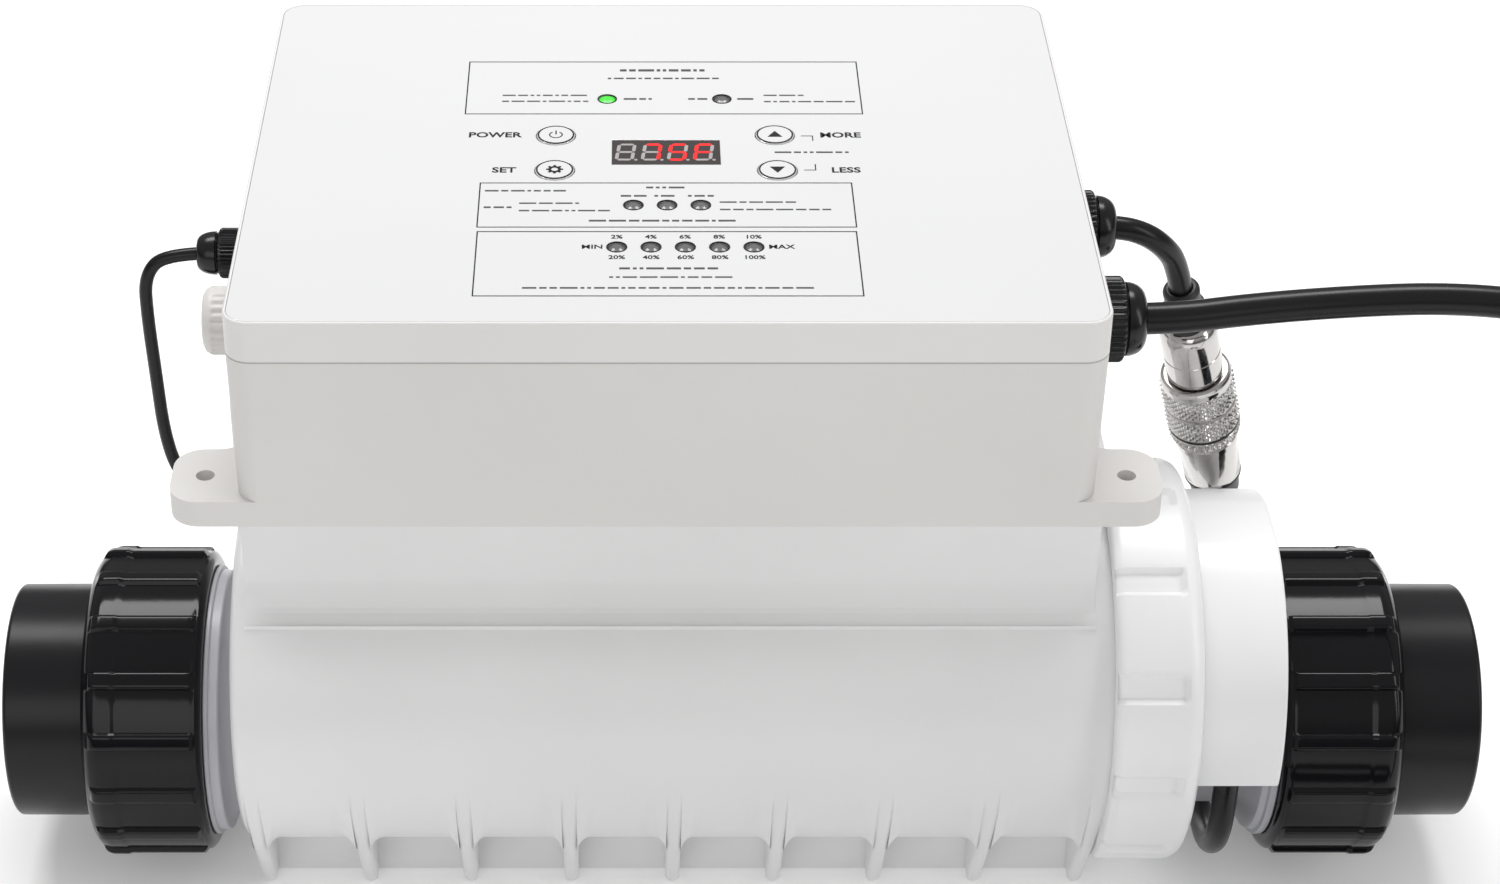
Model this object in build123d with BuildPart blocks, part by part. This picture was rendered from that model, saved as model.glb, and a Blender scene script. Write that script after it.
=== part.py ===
"""Salt chlorine generator: a wall box of electronics on an in-line electrolytic cell, with unions, leads and glands.

Frame: +X along the pipe towards the cell's head, +Y to the back of the box, +Z up.
The origin is on the underside of the middle foot fin, below the pipe's axis. Millimetres.
"""
import os
from math import atan2, cos, degrees, pi, radians, sin, sqrt, tan

from build123d import *

os.makedirs("parts", exist_ok=True)

LOW = (Align.CENTER, Align.CENTER, Align.MIN)
FROM_LEFT = (Align.MIN, Align.CENTER, Align.MIN)
HIGH = (Align.CENTER, Align.CENTER, Align.MAX)

# ---------------------------------------------------------------- driving dimensions
CELL_Z = 67.0            # height of the chamber's axis
UNION_Z = 50.6           # height of the pipe's axis, lower so that the chamber drains
BOX_X = -3.6             # middle of the box along X
BOX_W, BOX_D = 228.0, 182.0
BOX_BOTTOM, SPLIT_Z, LID_TOP = 181.0, 232.7, 244.7
WALL = 3.0
CORNER = 7.0
DRAFT = 0.55             # degrees, the box widens upwards
GAP = 0.3                # between curved faces of different bodies

SHELL_R, BORE_R = 55.1, 49.0
HOUSING_LEFT, HOUSING_MOUTH = -130.6, 145.5
LEFT_FACE, RIGHT_FACE = -165.0, 206.0      # sealing faces of the two unions
LEFT_END, RIGHT_END = -202.0, 243.0        # open ends of the pipe sockets
SOCKET_R, SOCKET_DEPTH = 30.3, 35.0        # takes 60.3 mm (2 inch) pipe
WATER_R = 26.5
TAIL_R, FLANGE_R, SPIGOT_R = 35.9, 39.7, 40.0
NUT_R, RIB_R, NUT_LENGTH, NUT_RIBS = 46.6, 48.1, 36.5, 16

FIN_PITCH, FIN_COUNT, FIN_THICK = 31.4, 9, 4.4
SADDLE_LEFT, SADDLE_RIGHT, SADDLE_Y = -125.7, 122.8, 30.0

LINE_UP = Plane(origin=(0, 0, CELL_Z), x_dir=(1, 0, 0), z_dir=(0, -1, 0))
PIPE_LINE = Plane(origin=(0, 0, UNION_Z), x_dir=(1, 0, 0), z_dir=(0, -1, 0))


# ---------------------------------------------------------------- small helpers
def spin(outline, line, mode=Mode.ADD):
    """Turn a closed outline of (distance along, radius) points about the plane's own X line."""
    with BuildSketch(line) as half:
        with BuildLine():
            Polyline(*outline, close=True)
        make_face()
    revolve(half.sketch, axis=Axis(line.origin, line.x_dir), mode=mode)


def ring_outline(start, end, inner, outer):
    """Outline of a plain ring between two stations."""
    return [(start, inner), (end, inner), (end, outer), (start, outer)]


def line_at(origin, direction):
    """A plane whose X line starts at origin and points along direction."""
    along = Vector(*direction).normalized()
    side = Vector(0, 1, 0) if abs(along.Y) < 0.9 else Vector(0, 0, 1)
    return Plane(origin=origin, x_dir=along, z_dir=along.cross(side))


def bend_radii(points):
    """Each corner's radius: 0.45 of its shorter run over the tangent of half its turn."""
    radii = []
    for before, here, after in zip(points, points[1:], points[2:]):
        run_in = Vector(*here) - Vector(*before)
        run_out = Vector(*after) - Vector(*here)
        half_turn = radians(run_in.get_angle(run_out)) / 2
        radii.append(0.45 * min(run_in.length, run_out.length) / tan(half_turn))
    return radii


def cord_tube(name, points, diameter):
    """Sweep a round cord along straight runs joined by tangent arcs, and print how it bends."""
    radii = bend_radii(points)
    with BuildLine() as route:
        FilletPolyline(*points, radius=radii)
    start = Plane(origin=route.line @ 0, z_dir=route.line % 0)
    with BuildSketch(start) as section:
        Circle(diameter / 2)
    sweep(section.sketch, path=route.line)
    length = sum(edge.length for edge in route.line.edges())
    volume = pi * diameter ** 2 / 4 * length
    print(f"{name}: length {length:.0f} mm, volume should be {volume:.0f}, radii in diameters",
          " ".join(f"{r / diameter:.1f}" for r in radii))


# ---------------------------------------------------------------- the box
BASE_H = SPLIT_Z - BOX_BOTTOM
NARROWING = 2 * BASE_H * tan(radians(DRAFT))
EAR_SPAN, EAR_DEPTH, EAR_H, EAR_HOLE_R = 264.0, 25.0, 7.9, 2.5
EAR_Y = -BOX_D / 2 + EAR_DEPTH / 2 + NARROWING / 2
EAR_HOLES = 246.0
POSTS = [(BOX_X + sx * 102, sy * 79) for sx in (-1, 1) for sy in (-1, 1)]
SADDLE_SCREWS = [(sx * 95.0, sy * 19.0) for sx in (-1, 1) for sy in (-1, 1)]
MAIN_BOARD = (150.0, 104.0)
BOARD_Z = BOX_BOTTOM + WALL + 6.0
STANDOFFS = [(BOX_X + sx * 70, sy * 46) for sx in (-1, 1) for sy in (-1, 1)]
MAINS_Y, OUTPUT_Y, RIGHT_LEAD_Z = -23.0, 28.0, 203.9
SENSOR_Y, FUSE_Y, LEFT_Z = -2.0, -38.0, 212.8
RIGHT_WALL = BOX_X + BOX_W / 2 - 0.25
LEFT_WALL = BOX_X - BOX_W / 2 + 0.25
GROOVE_OUT, GROOVE_W, GROOVE_DEEP = 1.0, 1.2, 1.6

with BuildPart() as box_base:
    with BuildSketch(Plane.XY.offset(BOX_BOTTOM)):
        with Locations((BOX_X, 0)):
            RectangleRounded(BOX_W - NARROWING, BOX_D - NARROWING, CORNER - 0.5)
    extrude(amount=BASE_H, taper=-DRAFT)
    with BuildSketch(Plane.XY.offset(BOX_BOTTOM)) as ears:
        with Locations((BOX_X, 0)):
            Rectangle(BOX_W - NARROWING, BOX_D - NARROWING - 20)
        with Locations((BOX_X, EAR_Y)):
            Rectangle(EAR_SPAN, EAR_DEPTH)
        outer_corners = ears.vertices().filter_by(lambda v: abs(v.X - BOX_X) > BOX_W / 2 + 5)
        fillet(outer_corners, 8.0)
        inner_corners = ears.vertices().filter_by(
            lambda v: abs(v.Y - EAR_Y - EAR_DEPTH / 2) < 0.1 and abs(v.X - BOX_X) < BOX_W / 2 + 1)
        fillet(inner_corners, 7.0)
    extrude(amount=EAR_H)
    with BuildSketch(Plane.XY.offset(BOX_BOTTOM + WALL)):
        with Locations((BOX_X, 0)):
            RectangleRounded(BOX_W - NARROWING - 2 * WALL, BOX_D - NARROWING - 2 * WALL, CORNER - WALL)
    extrude(amount=BASE_H, taper=-DRAFT, mode=Mode.SUBTRACT)
    with Locations(*[(x, y, BOX_BOTTOM + 1) for x, y in POSTS]):
        Cylinder(5.5, BASE_H - 1, align=LOW)
    with Locations(*[(x, y, BOX_BOTTOM + 1) for x, y in STANDOFFS]):
        Cylinder(3.5, BOARD_Z - BOX_BOTTOM - 1, align=LOW)
    with Locations(*[(x, y, BOX_BOTTOM + 2) for x, y in STANDOFFS]):
        Cylinder(1.3, 20, align=LOW, mode=Mode.SUBTRACT)
    with Locations(*[(x, y, BOX_BOTTOM) for x, y in POSTS]):
        Cylinder(2.1, BASE_H, align=LOW, mode=Mode.SUBTRACT)
        Cylinder(4.0, 24, align=LOW, mode=Mode.SUBTRACT)
    with Locations(*[(x, y, BOX_BOTTOM) for x, y in SADDLE_SCREWS]):
        Cylinder(2.3, WALL, align=LOW, mode=Mode.SUBTRACT)
    with Locations((BOX_X - EAR_HOLES / 2, EAR_Y, BOX_BOTTOM), (BOX_X + EAR_HOLES / 2, EAR_Y, BOX_BOTTOM)):
        Cylinder(EAR_HOLE_R, EAR_H, align=LOW, mode=Mode.SUBTRACT)
    with BuildSketch(Plane.XY.offset(SPLIT_Z)):
        with Locations((BOX_X, 0)):
            RectangleRounded(BOX_W - 2 * GROOVE_OUT, BOX_D - 2 * GROOVE_OUT, CORNER - GROOVE_OUT)
            inset = 2 * (GROOVE_OUT + GROOVE_W)
            RectangleRounded(BOX_W - inset, BOX_D - inset, CORNER - inset / 2, mode=Mode.SUBTRACT)
    extrude(amount=-GROOVE_DEEP, mode=Mode.SUBTRACT)
    for y, z, radius, wall_x in (
        (MAINS_Y, RIGHT_LEAD_Z, 9.3, RIGHT_WALL),
        (OUTPUT_Y, RIGHT_LEAD_Z, 7.8, RIGHT_WALL),
        (SENSOR_Y, LEFT_Z, 5.3, LEFT_WALL),
        (FUSE_Y, LEFT_Z, 6.3, LEFT_WALL),
    ):
        with Locations(Location((wall_x, y, z), (0, 90, 0))):
            Cylinder(radius, 14, mode=Mode.SUBTRACT)
box_base.part.label = "box_base"
export_step(box_base.part, "parts/box_base.step")

with BuildPart() as lid_gasket:
    with BuildSketch(Plane.XY.offset(SPLIT_Z - GROOVE_DEEP)):
        with Locations((BOX_X, 0)):
            RectangleRounded(BOX_W - 2 * GROOVE_OUT, BOX_D - 2 * GROOVE_OUT, CORNER - GROOVE_OUT)
            RectangleRounded(BOX_W - inset, BOX_D - inset, CORNER - inset / 2, mode=Mode.SUBTRACT)
    extrude(amount=GROOVE_DEEP)
lid_gasket.part.label = "lid_gasket"
export_step(lid_gasket.part, "parts/lid_gasket.step")

# ---------------------------------------------------------------- the lid and its control panel
OVERLAY_T, OVERLAY_INSET, LID_PLATE = 0.8, 0.8, 3.2
LID_FLOOR = LID_TOP - OVERLAY_T            # top of the lid's own plate, under the overlay
BUTTON_R, BUTTON_TRAVEL = 5.6, 0.5
BUTTONS = {
    "power_button": (-30.3, 8.5),
    "set_button": (-30.3, -11.4),
    "more_button": (30.9, 8.7),
    "less_button": (30.9, -11.4),
}
LED_R = 2.5
GOOD_LED = (-16.1, 30.2)
LOW_LED = (16.6, 30.2)
STATUS_LEDS = [(-8.7 + 9.1 * i, -30.6) for i in range(3)]
OUTPUT_LEDS = [(-13.1 + 9.05 * i, -52.8) for i in range(5)]
GREY_LEDS = [LOW_LED] + STATUS_LEDS + OUTPUT_LEDS
WINDOW_AT, WINDOW = (0.4, -1.1), (30.0, 14.0)
DISPLAY_BOARD_AT, DISPLAY_BOARD = (0.0, -11.0), (92.0, 106.0)
DISPLAY_BOARD_TOP = 234.0
BOARD_T = 1.6
HANGERS = [(sx * 41.0, -11.0 + sy * 48.0) for sx in (-1, 1) for sy in (-1, 1)]


def on_lid(points, z):
    """Panel positions, given from the lid's middle, as points in the part's frame."""
    return [(BOX_X + x, y, z) for x, y in points]


with BuildPart() as box_lid:
    with BuildSketch(Plane.XY.offset(SPLIT_Z)):
        with Locations((BOX_X, 0)):
            RectangleRounded(BOX_W, BOX_D, CORNER)
    extrude(amount=LID_TOP - SPLIT_Z)
    chamfer(box_lid.faces().sort_by(Axis.Z)[-1].edges(), 0.35)
    with BuildSketch(Plane.XY.offset(SPLIT_Z)):
        with Locations((BOX_X, 0)):
            RectangleRounded(BOX_W - 2 * WALL, BOX_D - 2 * WALL, CORNER - WALL)
    extrude(amount=LID_FLOOR - LID_PLATE - SPLIT_Z, mode=Mode.SUBTRACT)
    with BuildSketch(Plane.XY.offset(LID_FLOOR)):
        with Locations((BOX_X, 0)):
            RectangleRounded(BOX_W - 2 * OVERLAY_INSET, BOX_D - 2 * OVERLAY_INSET, CORNER - OVERLAY_INSET)
    extrude(amount=OVERLAY_T, mode=Mode.SUBTRACT)
    with Locations(*[(x, y, SPLIT_Z) for x, y in POSTS]):
        Cylinder(5.5, LID_FLOOR - SPLIT_Z - 1, align=LOW)
        Cylinder(1.6, LID_FLOOR - SPLIT_Z - 2, align=LOW, mode=Mode.SUBTRACT)
    with Locations(*on_lid(HANGERS, DISPLAY_BOARD_TOP)):
        Cylinder(3.2, LID_FLOOR - DISPLAY_BOARD_TOP - 1, align=LOW)
        Cylinder(1.2, 7.5, align=LOW, mode=Mode.SUBTRACT)
    with Locations(*on_lid(BUTTONS.values(), LID_TOP)):
        Cylinder(BUTTON_R, 10, align=HIGH, mode=Mode.SUBTRACT)
    with Locations(*on_lid([GOOD_LED] + GREY_LEDS, LID_TOP)):
        Cylinder(LED_R + 0.2, 10, align=HIGH, mode=Mode.SUBTRACT)
    with Locations(*on_lid([WINDOW_AT], LID_TOP)):
        Box(WINDOW[0] + 0.4, WINDOW[1] + 0.4, 10, align=HIGH, mode=Mode.SUBTRACT)
box_lid.part.label = "box_lid"
export_step(box_lid.part, "parts/box_lid.step")

with BuildPart() as panel_overlay:
    with BuildSketch(Plane.XY.offset(LID_FLOOR)):
        with Locations((BOX_X, 0)):
            edge_gap = OVERLAY_INSET + 0.1
            RectangleRounded(BOX_W - 2 * edge_gap, BOX_D - 2 * edge_gap, CORNER - edge_gap)
        with Locations(*on_lid(BUTTONS.values(), 0)):
            Circle(BUTTON_R, mode=Mode.SUBTRACT)
        with Locations(*on_lid([GOOD_LED] + GREY_LEDS, 0)):
            Circle(LED_R + 0.2, mode=Mode.SUBTRACT)
        with Locations(*on_lid([WINDOW_AT], 0)):
            Rectangle(*WINDOW, mode=Mode.SUBTRACT)
    extrude(amount=OVERLAY_T)
panel_overlay.part.label = "panel_overlay"
export_step(panel_overlay.part, "parts/panel_overlay.step")

with BuildPart() as display_window:
    with Locations(*on_lid([WINDOW_AT], LID_FLOOR)):
        Box(WINDOW[0] - 0.1, WINDOW[1] - 0.1, OVERLAY_T, align=LOW)
display_window.part.label = "display_window"
export_step(display_window.part, "parts/display_window.step")

BUTTON_TOP, STEM_END = LID_TOP + 0.3, 238.7
for button_name, spot in BUTTONS.items():
    upright = Plane(origin=(BOX_X + spot[0], spot[1], 0), x_dir=(0, 0, 1), z_dir=(0, -1, 0))
    under_lid = LID_FLOOR - LID_PLATE - GAP
    cap_r = BUTTON_R - GAP
    with BuildPart() as button:
        spin([(STEM_END, 0), (BUTTON_TOP, 0), (BUTTON_TOP, cap_r - 0.5), (BUTTON_TOP - 0.3, cap_r),
              (under_lid, cap_r), (under_lid, cap_r + 1.2), (under_lid - 1.2, cap_r + 1.2),
              (under_lid - 1.2, 2.0), (STEM_END, 2.0)], upright)
    button.part.label = button_name
    export_step(button.part, f"parts/{button_name}.step")

with BuildPart() as tact_switches:
    with Locations(*on_lid(BUTTONS.values(), DISPLAY_BOARD_TOP)):
        Box(6.0, 6.0, 3.5, align=LOW)
        Cylinder(1.75, STEM_END - DISPLAY_BOARD_TOP - BUTTON_TRAVEL - 0.1, align=LOW)
tact_switches.part.label = "tact_switches"
export_step(tact_switches.part, "parts/tact_switches.step")


def led_outline():
    """Flanged lamp standing on the display board, its dome just proud of the panel."""
    top = LID_TOP + 0.2
    return [(DISPLAY_BOARD_TOP, 0), (top, 0), (top - 0.1, LED_R * 0.5), (top - 0.5, LED_R * 0.85),
            (top - 1.1, LED_R), (DISPLAY_BOARD_TOP + 1.2, LED_R), (DISPLAY_BOARD_TOP + 1.2, LED_R + 0.4),
            (DISPLAY_BOARD_TOP, LED_R + 0.4)]


with BuildPart() as good_led:
    spin(led_outline(), Plane(origin=(BOX_X + GOOD_LED[0], GOOD_LED[1], 0), x_dir=(0, 0, 1), z_dir=(0, -1, 0)))
good_led.part.label = "good_led"
export_step(good_led.part, "parts/good_led.step")

with BuildPart() as indicator_leds:
    for spot in GREY_LEDS:
        spin(led_outline(), Plane(origin=(BOX_X + spot[0], spot[1], 0), x_dir=(0, 0, 1), z_dir=(0, -1, 0)))
indicator_leds.part.label = "indicator_leds"
export_step(indicator_leds.part, "parts/indicator_leds.step")

with BuildPart() as display_module:
    with Locations(*on_lid([WINDOW_AT], DISPLAY_BOARD_TOP)):
        Box(WINDOW[0], WINDOW[1], LID_FLOOR - DISPLAY_BOARD_TOP - 0.2, align=LOW)
display_module.part.label = "display_module"
export_step(display_module.part, "parts/display_module.step")

with BuildPart() as display_board:
    with BuildSketch(Plane.XY.offset(DISPLAY_BOARD_TOP)):
        with Locations(*on_lid([DISPLAY_BOARD_AT], 0)):
            RectangleRounded(*DISPLAY_BOARD, 3.0)
        with Locations(*on_lid(HANGERS, 0)):
            Circle(1.6, mode=Mode.SUBTRACT)
    extrude(amount=-BOARD_T)
display_board.part.label = "display_board"
export_step(display_board.part, "parts/display_board.step")

# ---------------------------------------------------------------- screws
with BuildPart() as lid_screws:
    head_at = BOX_BOTTOM + 24
    for x, y in POSTS:
        with Locations((x, y, head_at)):
            Cylinder(3.6, 3.0, align=HIGH)
            Cylinder(1.6, SPLIT_Z - head_at + 8.0, align=LOW)
lid_screws.part.label = "lid_screws"
export_step(lid_screws.part, "parts/lid_screws.step")

with BuildPart() as saddle_screws:
    for x, y in SADDLE_SCREWS:
        with Locations((x, y, BOX_BOTTOM + WALL)):
            Cylinder(4.2, 2.6, align=LOW)
            Cylinder(2.0, WALL + 13, align=HIGH)
saddle_screws.part.label = "saddle_screws"
export_step(saddle_screws.part, "parts/saddle_screws.step")

with BuildPart() as board_screws:
    for x, y in STANDOFFS:
        with Locations((x, y, BOARD_Z + BOARD_T)):
            Cylinder(2.6, 1.8, align=LOW)
            Cylinder(1.25, BOARD_T + 6, align=HIGH)
    for x, y, z in on_lid(HANGERS, DISPLAY_BOARD_TOP - BOARD_T):
        with Locations((x, y, z)):
            Cylinder(2.4, 1.6, align=HIGH)
            Cylinder(1.15, BOARD_T + 6, align=LOW)
board_screws.part.label = "board_screws"
export_step(board_screws.part, "parts/board_screws.step")

# ---------------------------------------------------------------- electronics inside the box
BOARD_TOP = BOARD_Z + BOARD_T

with BuildPart() as main_board:
    with BuildSketch(Plane.XY.offset(BOARD_Z)):
        with Locations((BOX_X, 0)):
            RectangleRounded(*MAIN_BOARD, 3.0)
        with Locations(*STANDOFFS):
            Circle(1.6, mode=Mode.SUBTRACT)
    extrude(amount=BOARD_T)
main_board.part.label = "main_board"
export_step(main_board.part, "parts/main_board.step")

CORE_X, CORE_W, CORE_H, CORE_D = BOX_X - 50.0, 46.0, 32.0, 24.0
CORE_MID = BOARD_TOP + CORE_H / 2 + 1.0
with BuildPart() as transformer_core:
    with BuildSketch(Plane.XZ.offset(-CORE_D / 2)):
        with Locations((CORE_X, CORE_MID)):
            Rectangle(CORE_W, CORE_H)
        with Locations((CORE_X - 10.6, CORE_MID), (CORE_X + 10.6, CORE_MID)):
            Rectangle(9.6, 20, mode=Mode.SUBTRACT)
    extrude(amount=CORE_D)
transformer_core.part.label = "transformer_core"
export_step(transformer_core.part, "parts/transformer_core.step")

with BuildPart() as transformer_windings:
    with BuildSketch(Plane.XY.offset(CORE_MID - 9.6)):
        with Locations((CORE_X, 0)):
            RectangleRounded(30.0, CORE_D + 17.0, 6.0)
            Rectangle(12.2, CORE_D + 0.8, mode=Mode.SUBTRACT)
    extrude(amount=19.2)
transformer_windings.part.label = "transformer_windings"
export_step(transformer_windings.part, "parts/transformer_windings.step")

with BuildPart() as capacitors:
    for x, y in ((-10.0, -30.0), (10.0, -30.0), (-10.0, 30.0), (10.0, 30.0)):
        with Locations((BOX_X + x, y, BOARD_TOP)):
            Cylinder(8.0, 30.0, align=LOW)
capacitors.part.label = "capacitors"
export_step(capacitors.part, "parts/capacitors.step")

with BuildPart() as relays:
    for x in (-12.0, 12.0):
        with Locations((BOX_X + x, 0, BOARD_TOP)):
            Box(15.5, 19.0, 15.5, align=LOW)
relays.part.label = "relays"
export_step(relays.part, "parts/relays.step")

with BuildPart() as heat_sink:
    with Locations((BOX_X + 52.0, 0, BOARD_TOP)):
        Box(4.0, 70.0, 26.0, align=LOW)
    with Locations(*[(BOX_X + 45.0, -33.0 + 11.0 * i, BOARD_TOP) for i in range(7)]):
        Box(12.0, 2.0, 26.0, align=LOW)
heat_sink.part.label = "heat_sink"
export_step(heat_sink.part, "parts/heat_sink.step")

# ---------------------------------------------------------------- fuse in the left wall
FUSE_LINE = line_at((LEFT_WALL, FUSE_Y, LEFT_Z), (-1, 0, 0))
with BuildPart() as fuse_holder:
    spin([(-30, 0), (-28, 0), (-28, 3.4), (2.0, 3.4), (2.0, 8.4), (0.2, 8.4), (0.2, 6.0), (-30, 6.0)], FUSE_LINE)
fuse_holder.part.label = "fuse_holder"
export_step(fuse_holder.part, "parts/fuse_holder.step")

with BuildPart() as fuse:
    spin([(-22, 0), (-2, 0), (-2, 2.6), (-22, 2.6)], FUSE_LINE)
fuse.part.label = "fuse"
export_step(fuse.part, "parts/fuse.step")

with BuildPart() as fuse_cap:
    spin([(2.3, 0), (12.0, 0), (12.0, 8.0), (10.5, 9.5), (2.3, 9.5)], FUSE_LINE)
    with Locations(Location((LEFT_WALL - 12.0, FUSE_Y, LEFT_Z))):
        Box(1.6, 1.6, 12.0, mode=Mode.SUBTRACT)
fuse_cap.part.label = "fuse_cap"
export_step(fuse_cap.part, "parts/fuse_cap.step")

# ---------------------------------------------------------------- cord glands
# name: (line out of the wall, reach, flange radius, dome radius, thread radius through the wall, cord radius)
MAINS_D, OUTPUT_D, SENSOR_D, CELL_D = 9.0, 7.0, 3.8, 7.5
GLANDS = {
    "mains": (line_at((RIGHT_WALL, MAINS_Y, RIGHT_LEAD_Z), (1, 0, 0)), 20.0, 12.1, 10.4, 9.1, MAINS_D / 2),
    "output": (line_at((RIGHT_WALL, OUTPUT_Y, RIGHT_LEAD_Z), (1, 0, 0)), 18.0, 10.8, 9.2, 7.6, OUTPUT_D / 2),
    "sensor": (line_at((LEFT_WALL, SENSOR_Y, LEFT_Z), (-1, 0, 0)), 18.0, 7.2, 6.2, 5.1, SENSOR_D / 2),
}
FLANGE_T, STUB_END, LOCKNUT_T = 5.0, 11.5, 5.0

with BuildPart() as gland_bodies:
    for line, reach, flange_r, dome_r, thread_r, cord_r in GLANDS.values():
        seat_r = cord_r + 1.6
        spin([(-WALL - 7, cord_r + 0.5), (4, cord_r + 0.5), (4, seat_r), (STUB_END, seat_r),
              (STUB_END, thread_r - 0.9), (FLANGE_T, thread_r - 0.9), (FLANGE_T, flange_r - 0.6),
              (FLANGE_T - 0.6, flange_r), (0.2, flange_r), (0.2, thread_r), (-WALL - 7, thread_r)], line)
gland_bodies.part.label = "gland_bodies"
export_step(gland_bodies.part, "parts/gland_bodies.step")

with BuildPart() as gland_seals:
    for line, reach, flange_r, dome_r, thread_r, cord_r in GLANDS.values():
        spin(ring_outline(4.05, STUB_END, 0, cord_r + 1.5), line)
gland_seals.part.label = "gland_seals"
export_step(gland_seals.part, "parts/gland_seals.step")

with BuildPart() as gland_locknuts:
    for line, reach, flange_r, dome_r, thread_r, cord_r in GLANDS.values():
        facing = Plane(origin=line.origin, x_dir=(0, 0, 1), z_dir=line.x_dir).offset(-WALL - 0.6)
        with BuildSketch(facing):
            RegularPolygon(flange_r + 1.0, 6)
            Circle(thread_r + 0.1, mode=Mode.SUBTRACT)
        extrude(amount=-LOCKNUT_T)
gland_locknuts.part.label = "gland_locknuts"
export_step(gland_locknuts.part, "parts/gland_locknuts.step")

for gland_name, (line, reach, flange_r, dome_r, thread_r, cord_r) in GLANDS.items():
    mouth_r = cord_r + 0.5
    with BuildPart() as gland_nut:
        spin([(FLANGE_T + GAP, thread_r - 0.6), (STUB_END + GAP, thread_r - 0.6), (reach - 2.5, mouth_r),
              (reach, mouth_r), (reach, mouth_r + 1.3), (reach - 2.0, dome_r - 1.6), (reach - 5.5, dome_r),
              (FLANGE_T + 3.5, dome_r), (FLANGE_T + 3.0, flange_r - 0.4), (FLANGE_T + GAP, flange_r - 0.4)], line)
    gland_nut.part.label = f"{gland_name}_gland_nut"
    export_step(gland_nut.part, f"parts/{gland_name}_gland_nut.step")

# ---------------------------------------------------------------- the cell's housing
RING_R = 41.7
NECK_R = 33.0
FIN_EDGE = [(28.0, 0.0), (46.0, 30.0), (53.6, 50.0), (54.9, 63.0)]
SKIRT_Y, SKIRT_T = 22.0, 2.5
SWITCH_X = -105.0
STEM_R = 7.0
LEFT_WALL_T = 6.5
GROOVE_MID_R, ORING_R = 33.4, 1.35

with BuildPart() as cell_housing:
    left = HOUSING_LEFT
    spin([(left, 0), (left, SHELL_R - 9), (left + 0.9, SHELL_R - 5), (left + 3.2, SHELL_R - 1.9),
          (left + 7, SHELL_R - 0.3), (left + 10, SHELL_R), (HOUSING_MOUTH, SHELL_R), (HOUSING_MOUTH, BORE_R),
          (left + LEFT_WALL_T, BORE_R), (left + LEFT_WALL_T, 0)], LINE_UP)
    for i in range(FIN_COUNT):
        fin_x = FIN_PITCH * (i - (FIN_COUNT - 1) / 2)
        with BuildSketch(Plane.YZ.offset(fin_x - FIN_THICK / 2)):
            with BuildLine():
                right_side = list(FIN_EDGE)
                Polyline(*[(-y, z) for y, z in right_side], *reversed(right_side), close=True)
            make_face()
        extrude(amount=FIN_THICK)
    fin_span = FIN_PITCH * (FIN_COUNT - 1)
    for side in (-1, 1):
        with Locations((0, side * (SKIRT_Y - SKIRT_T / 2), 0)):
            Box(fin_span, SKIRT_T, 30, align=LOW)
    spin([(left + LEFT_WALL_T, 0), (LEFT_FACE, 0), (LEFT_FACE, SPIGOT_R), (-140.8, SPIGOT_R),
          (-140.8, RING_R), (-138.6, RING_R), (-138.2, RING_R - 1.6), (-136.0, RING_R - 1.9),
          (-135.4, RING_R - 3.6), (-133.4, NECK_R + 2), (left + 3, NECK_R)], PIPE_LINE)
    with BuildSketch(Plane.YZ.offset(left + LEFT_WALL_T)):
        with Locations((0, CELL_Z)):
            Circle(BORE_R)
    extrude(amount=HOUSING_MOUTH - left - LEFT_WALL_T, mode=Mode.SUBTRACT)
    spin(ring_outline(LEFT_FACE, left + LEFT_WALL_T + 1, 0, WATER_R), PIPE_LINE, mode=Mode.SUBTRACT)
    spin(ring_outline(LEFT_FACE, LEFT_FACE + 2 * ORING_R + 0.1, GROOVE_MID_R - ORING_R - 0.05,
                      GROOVE_MID_R + ORING_R + 0.05), PIPE_LINE, mode=Mode.SUBTRACT)
    with Locations((SWITCH_X, 0, CELL_Z + BORE_R - 6)):
        Cylinder(STEM_R + 0.1, 20, align=LOW, mode=Mode.SUBTRACT)
cell_housing.part.label = "cell_housing"
export_step(cell_housing.part, "parts/cell_housing.step")

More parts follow.
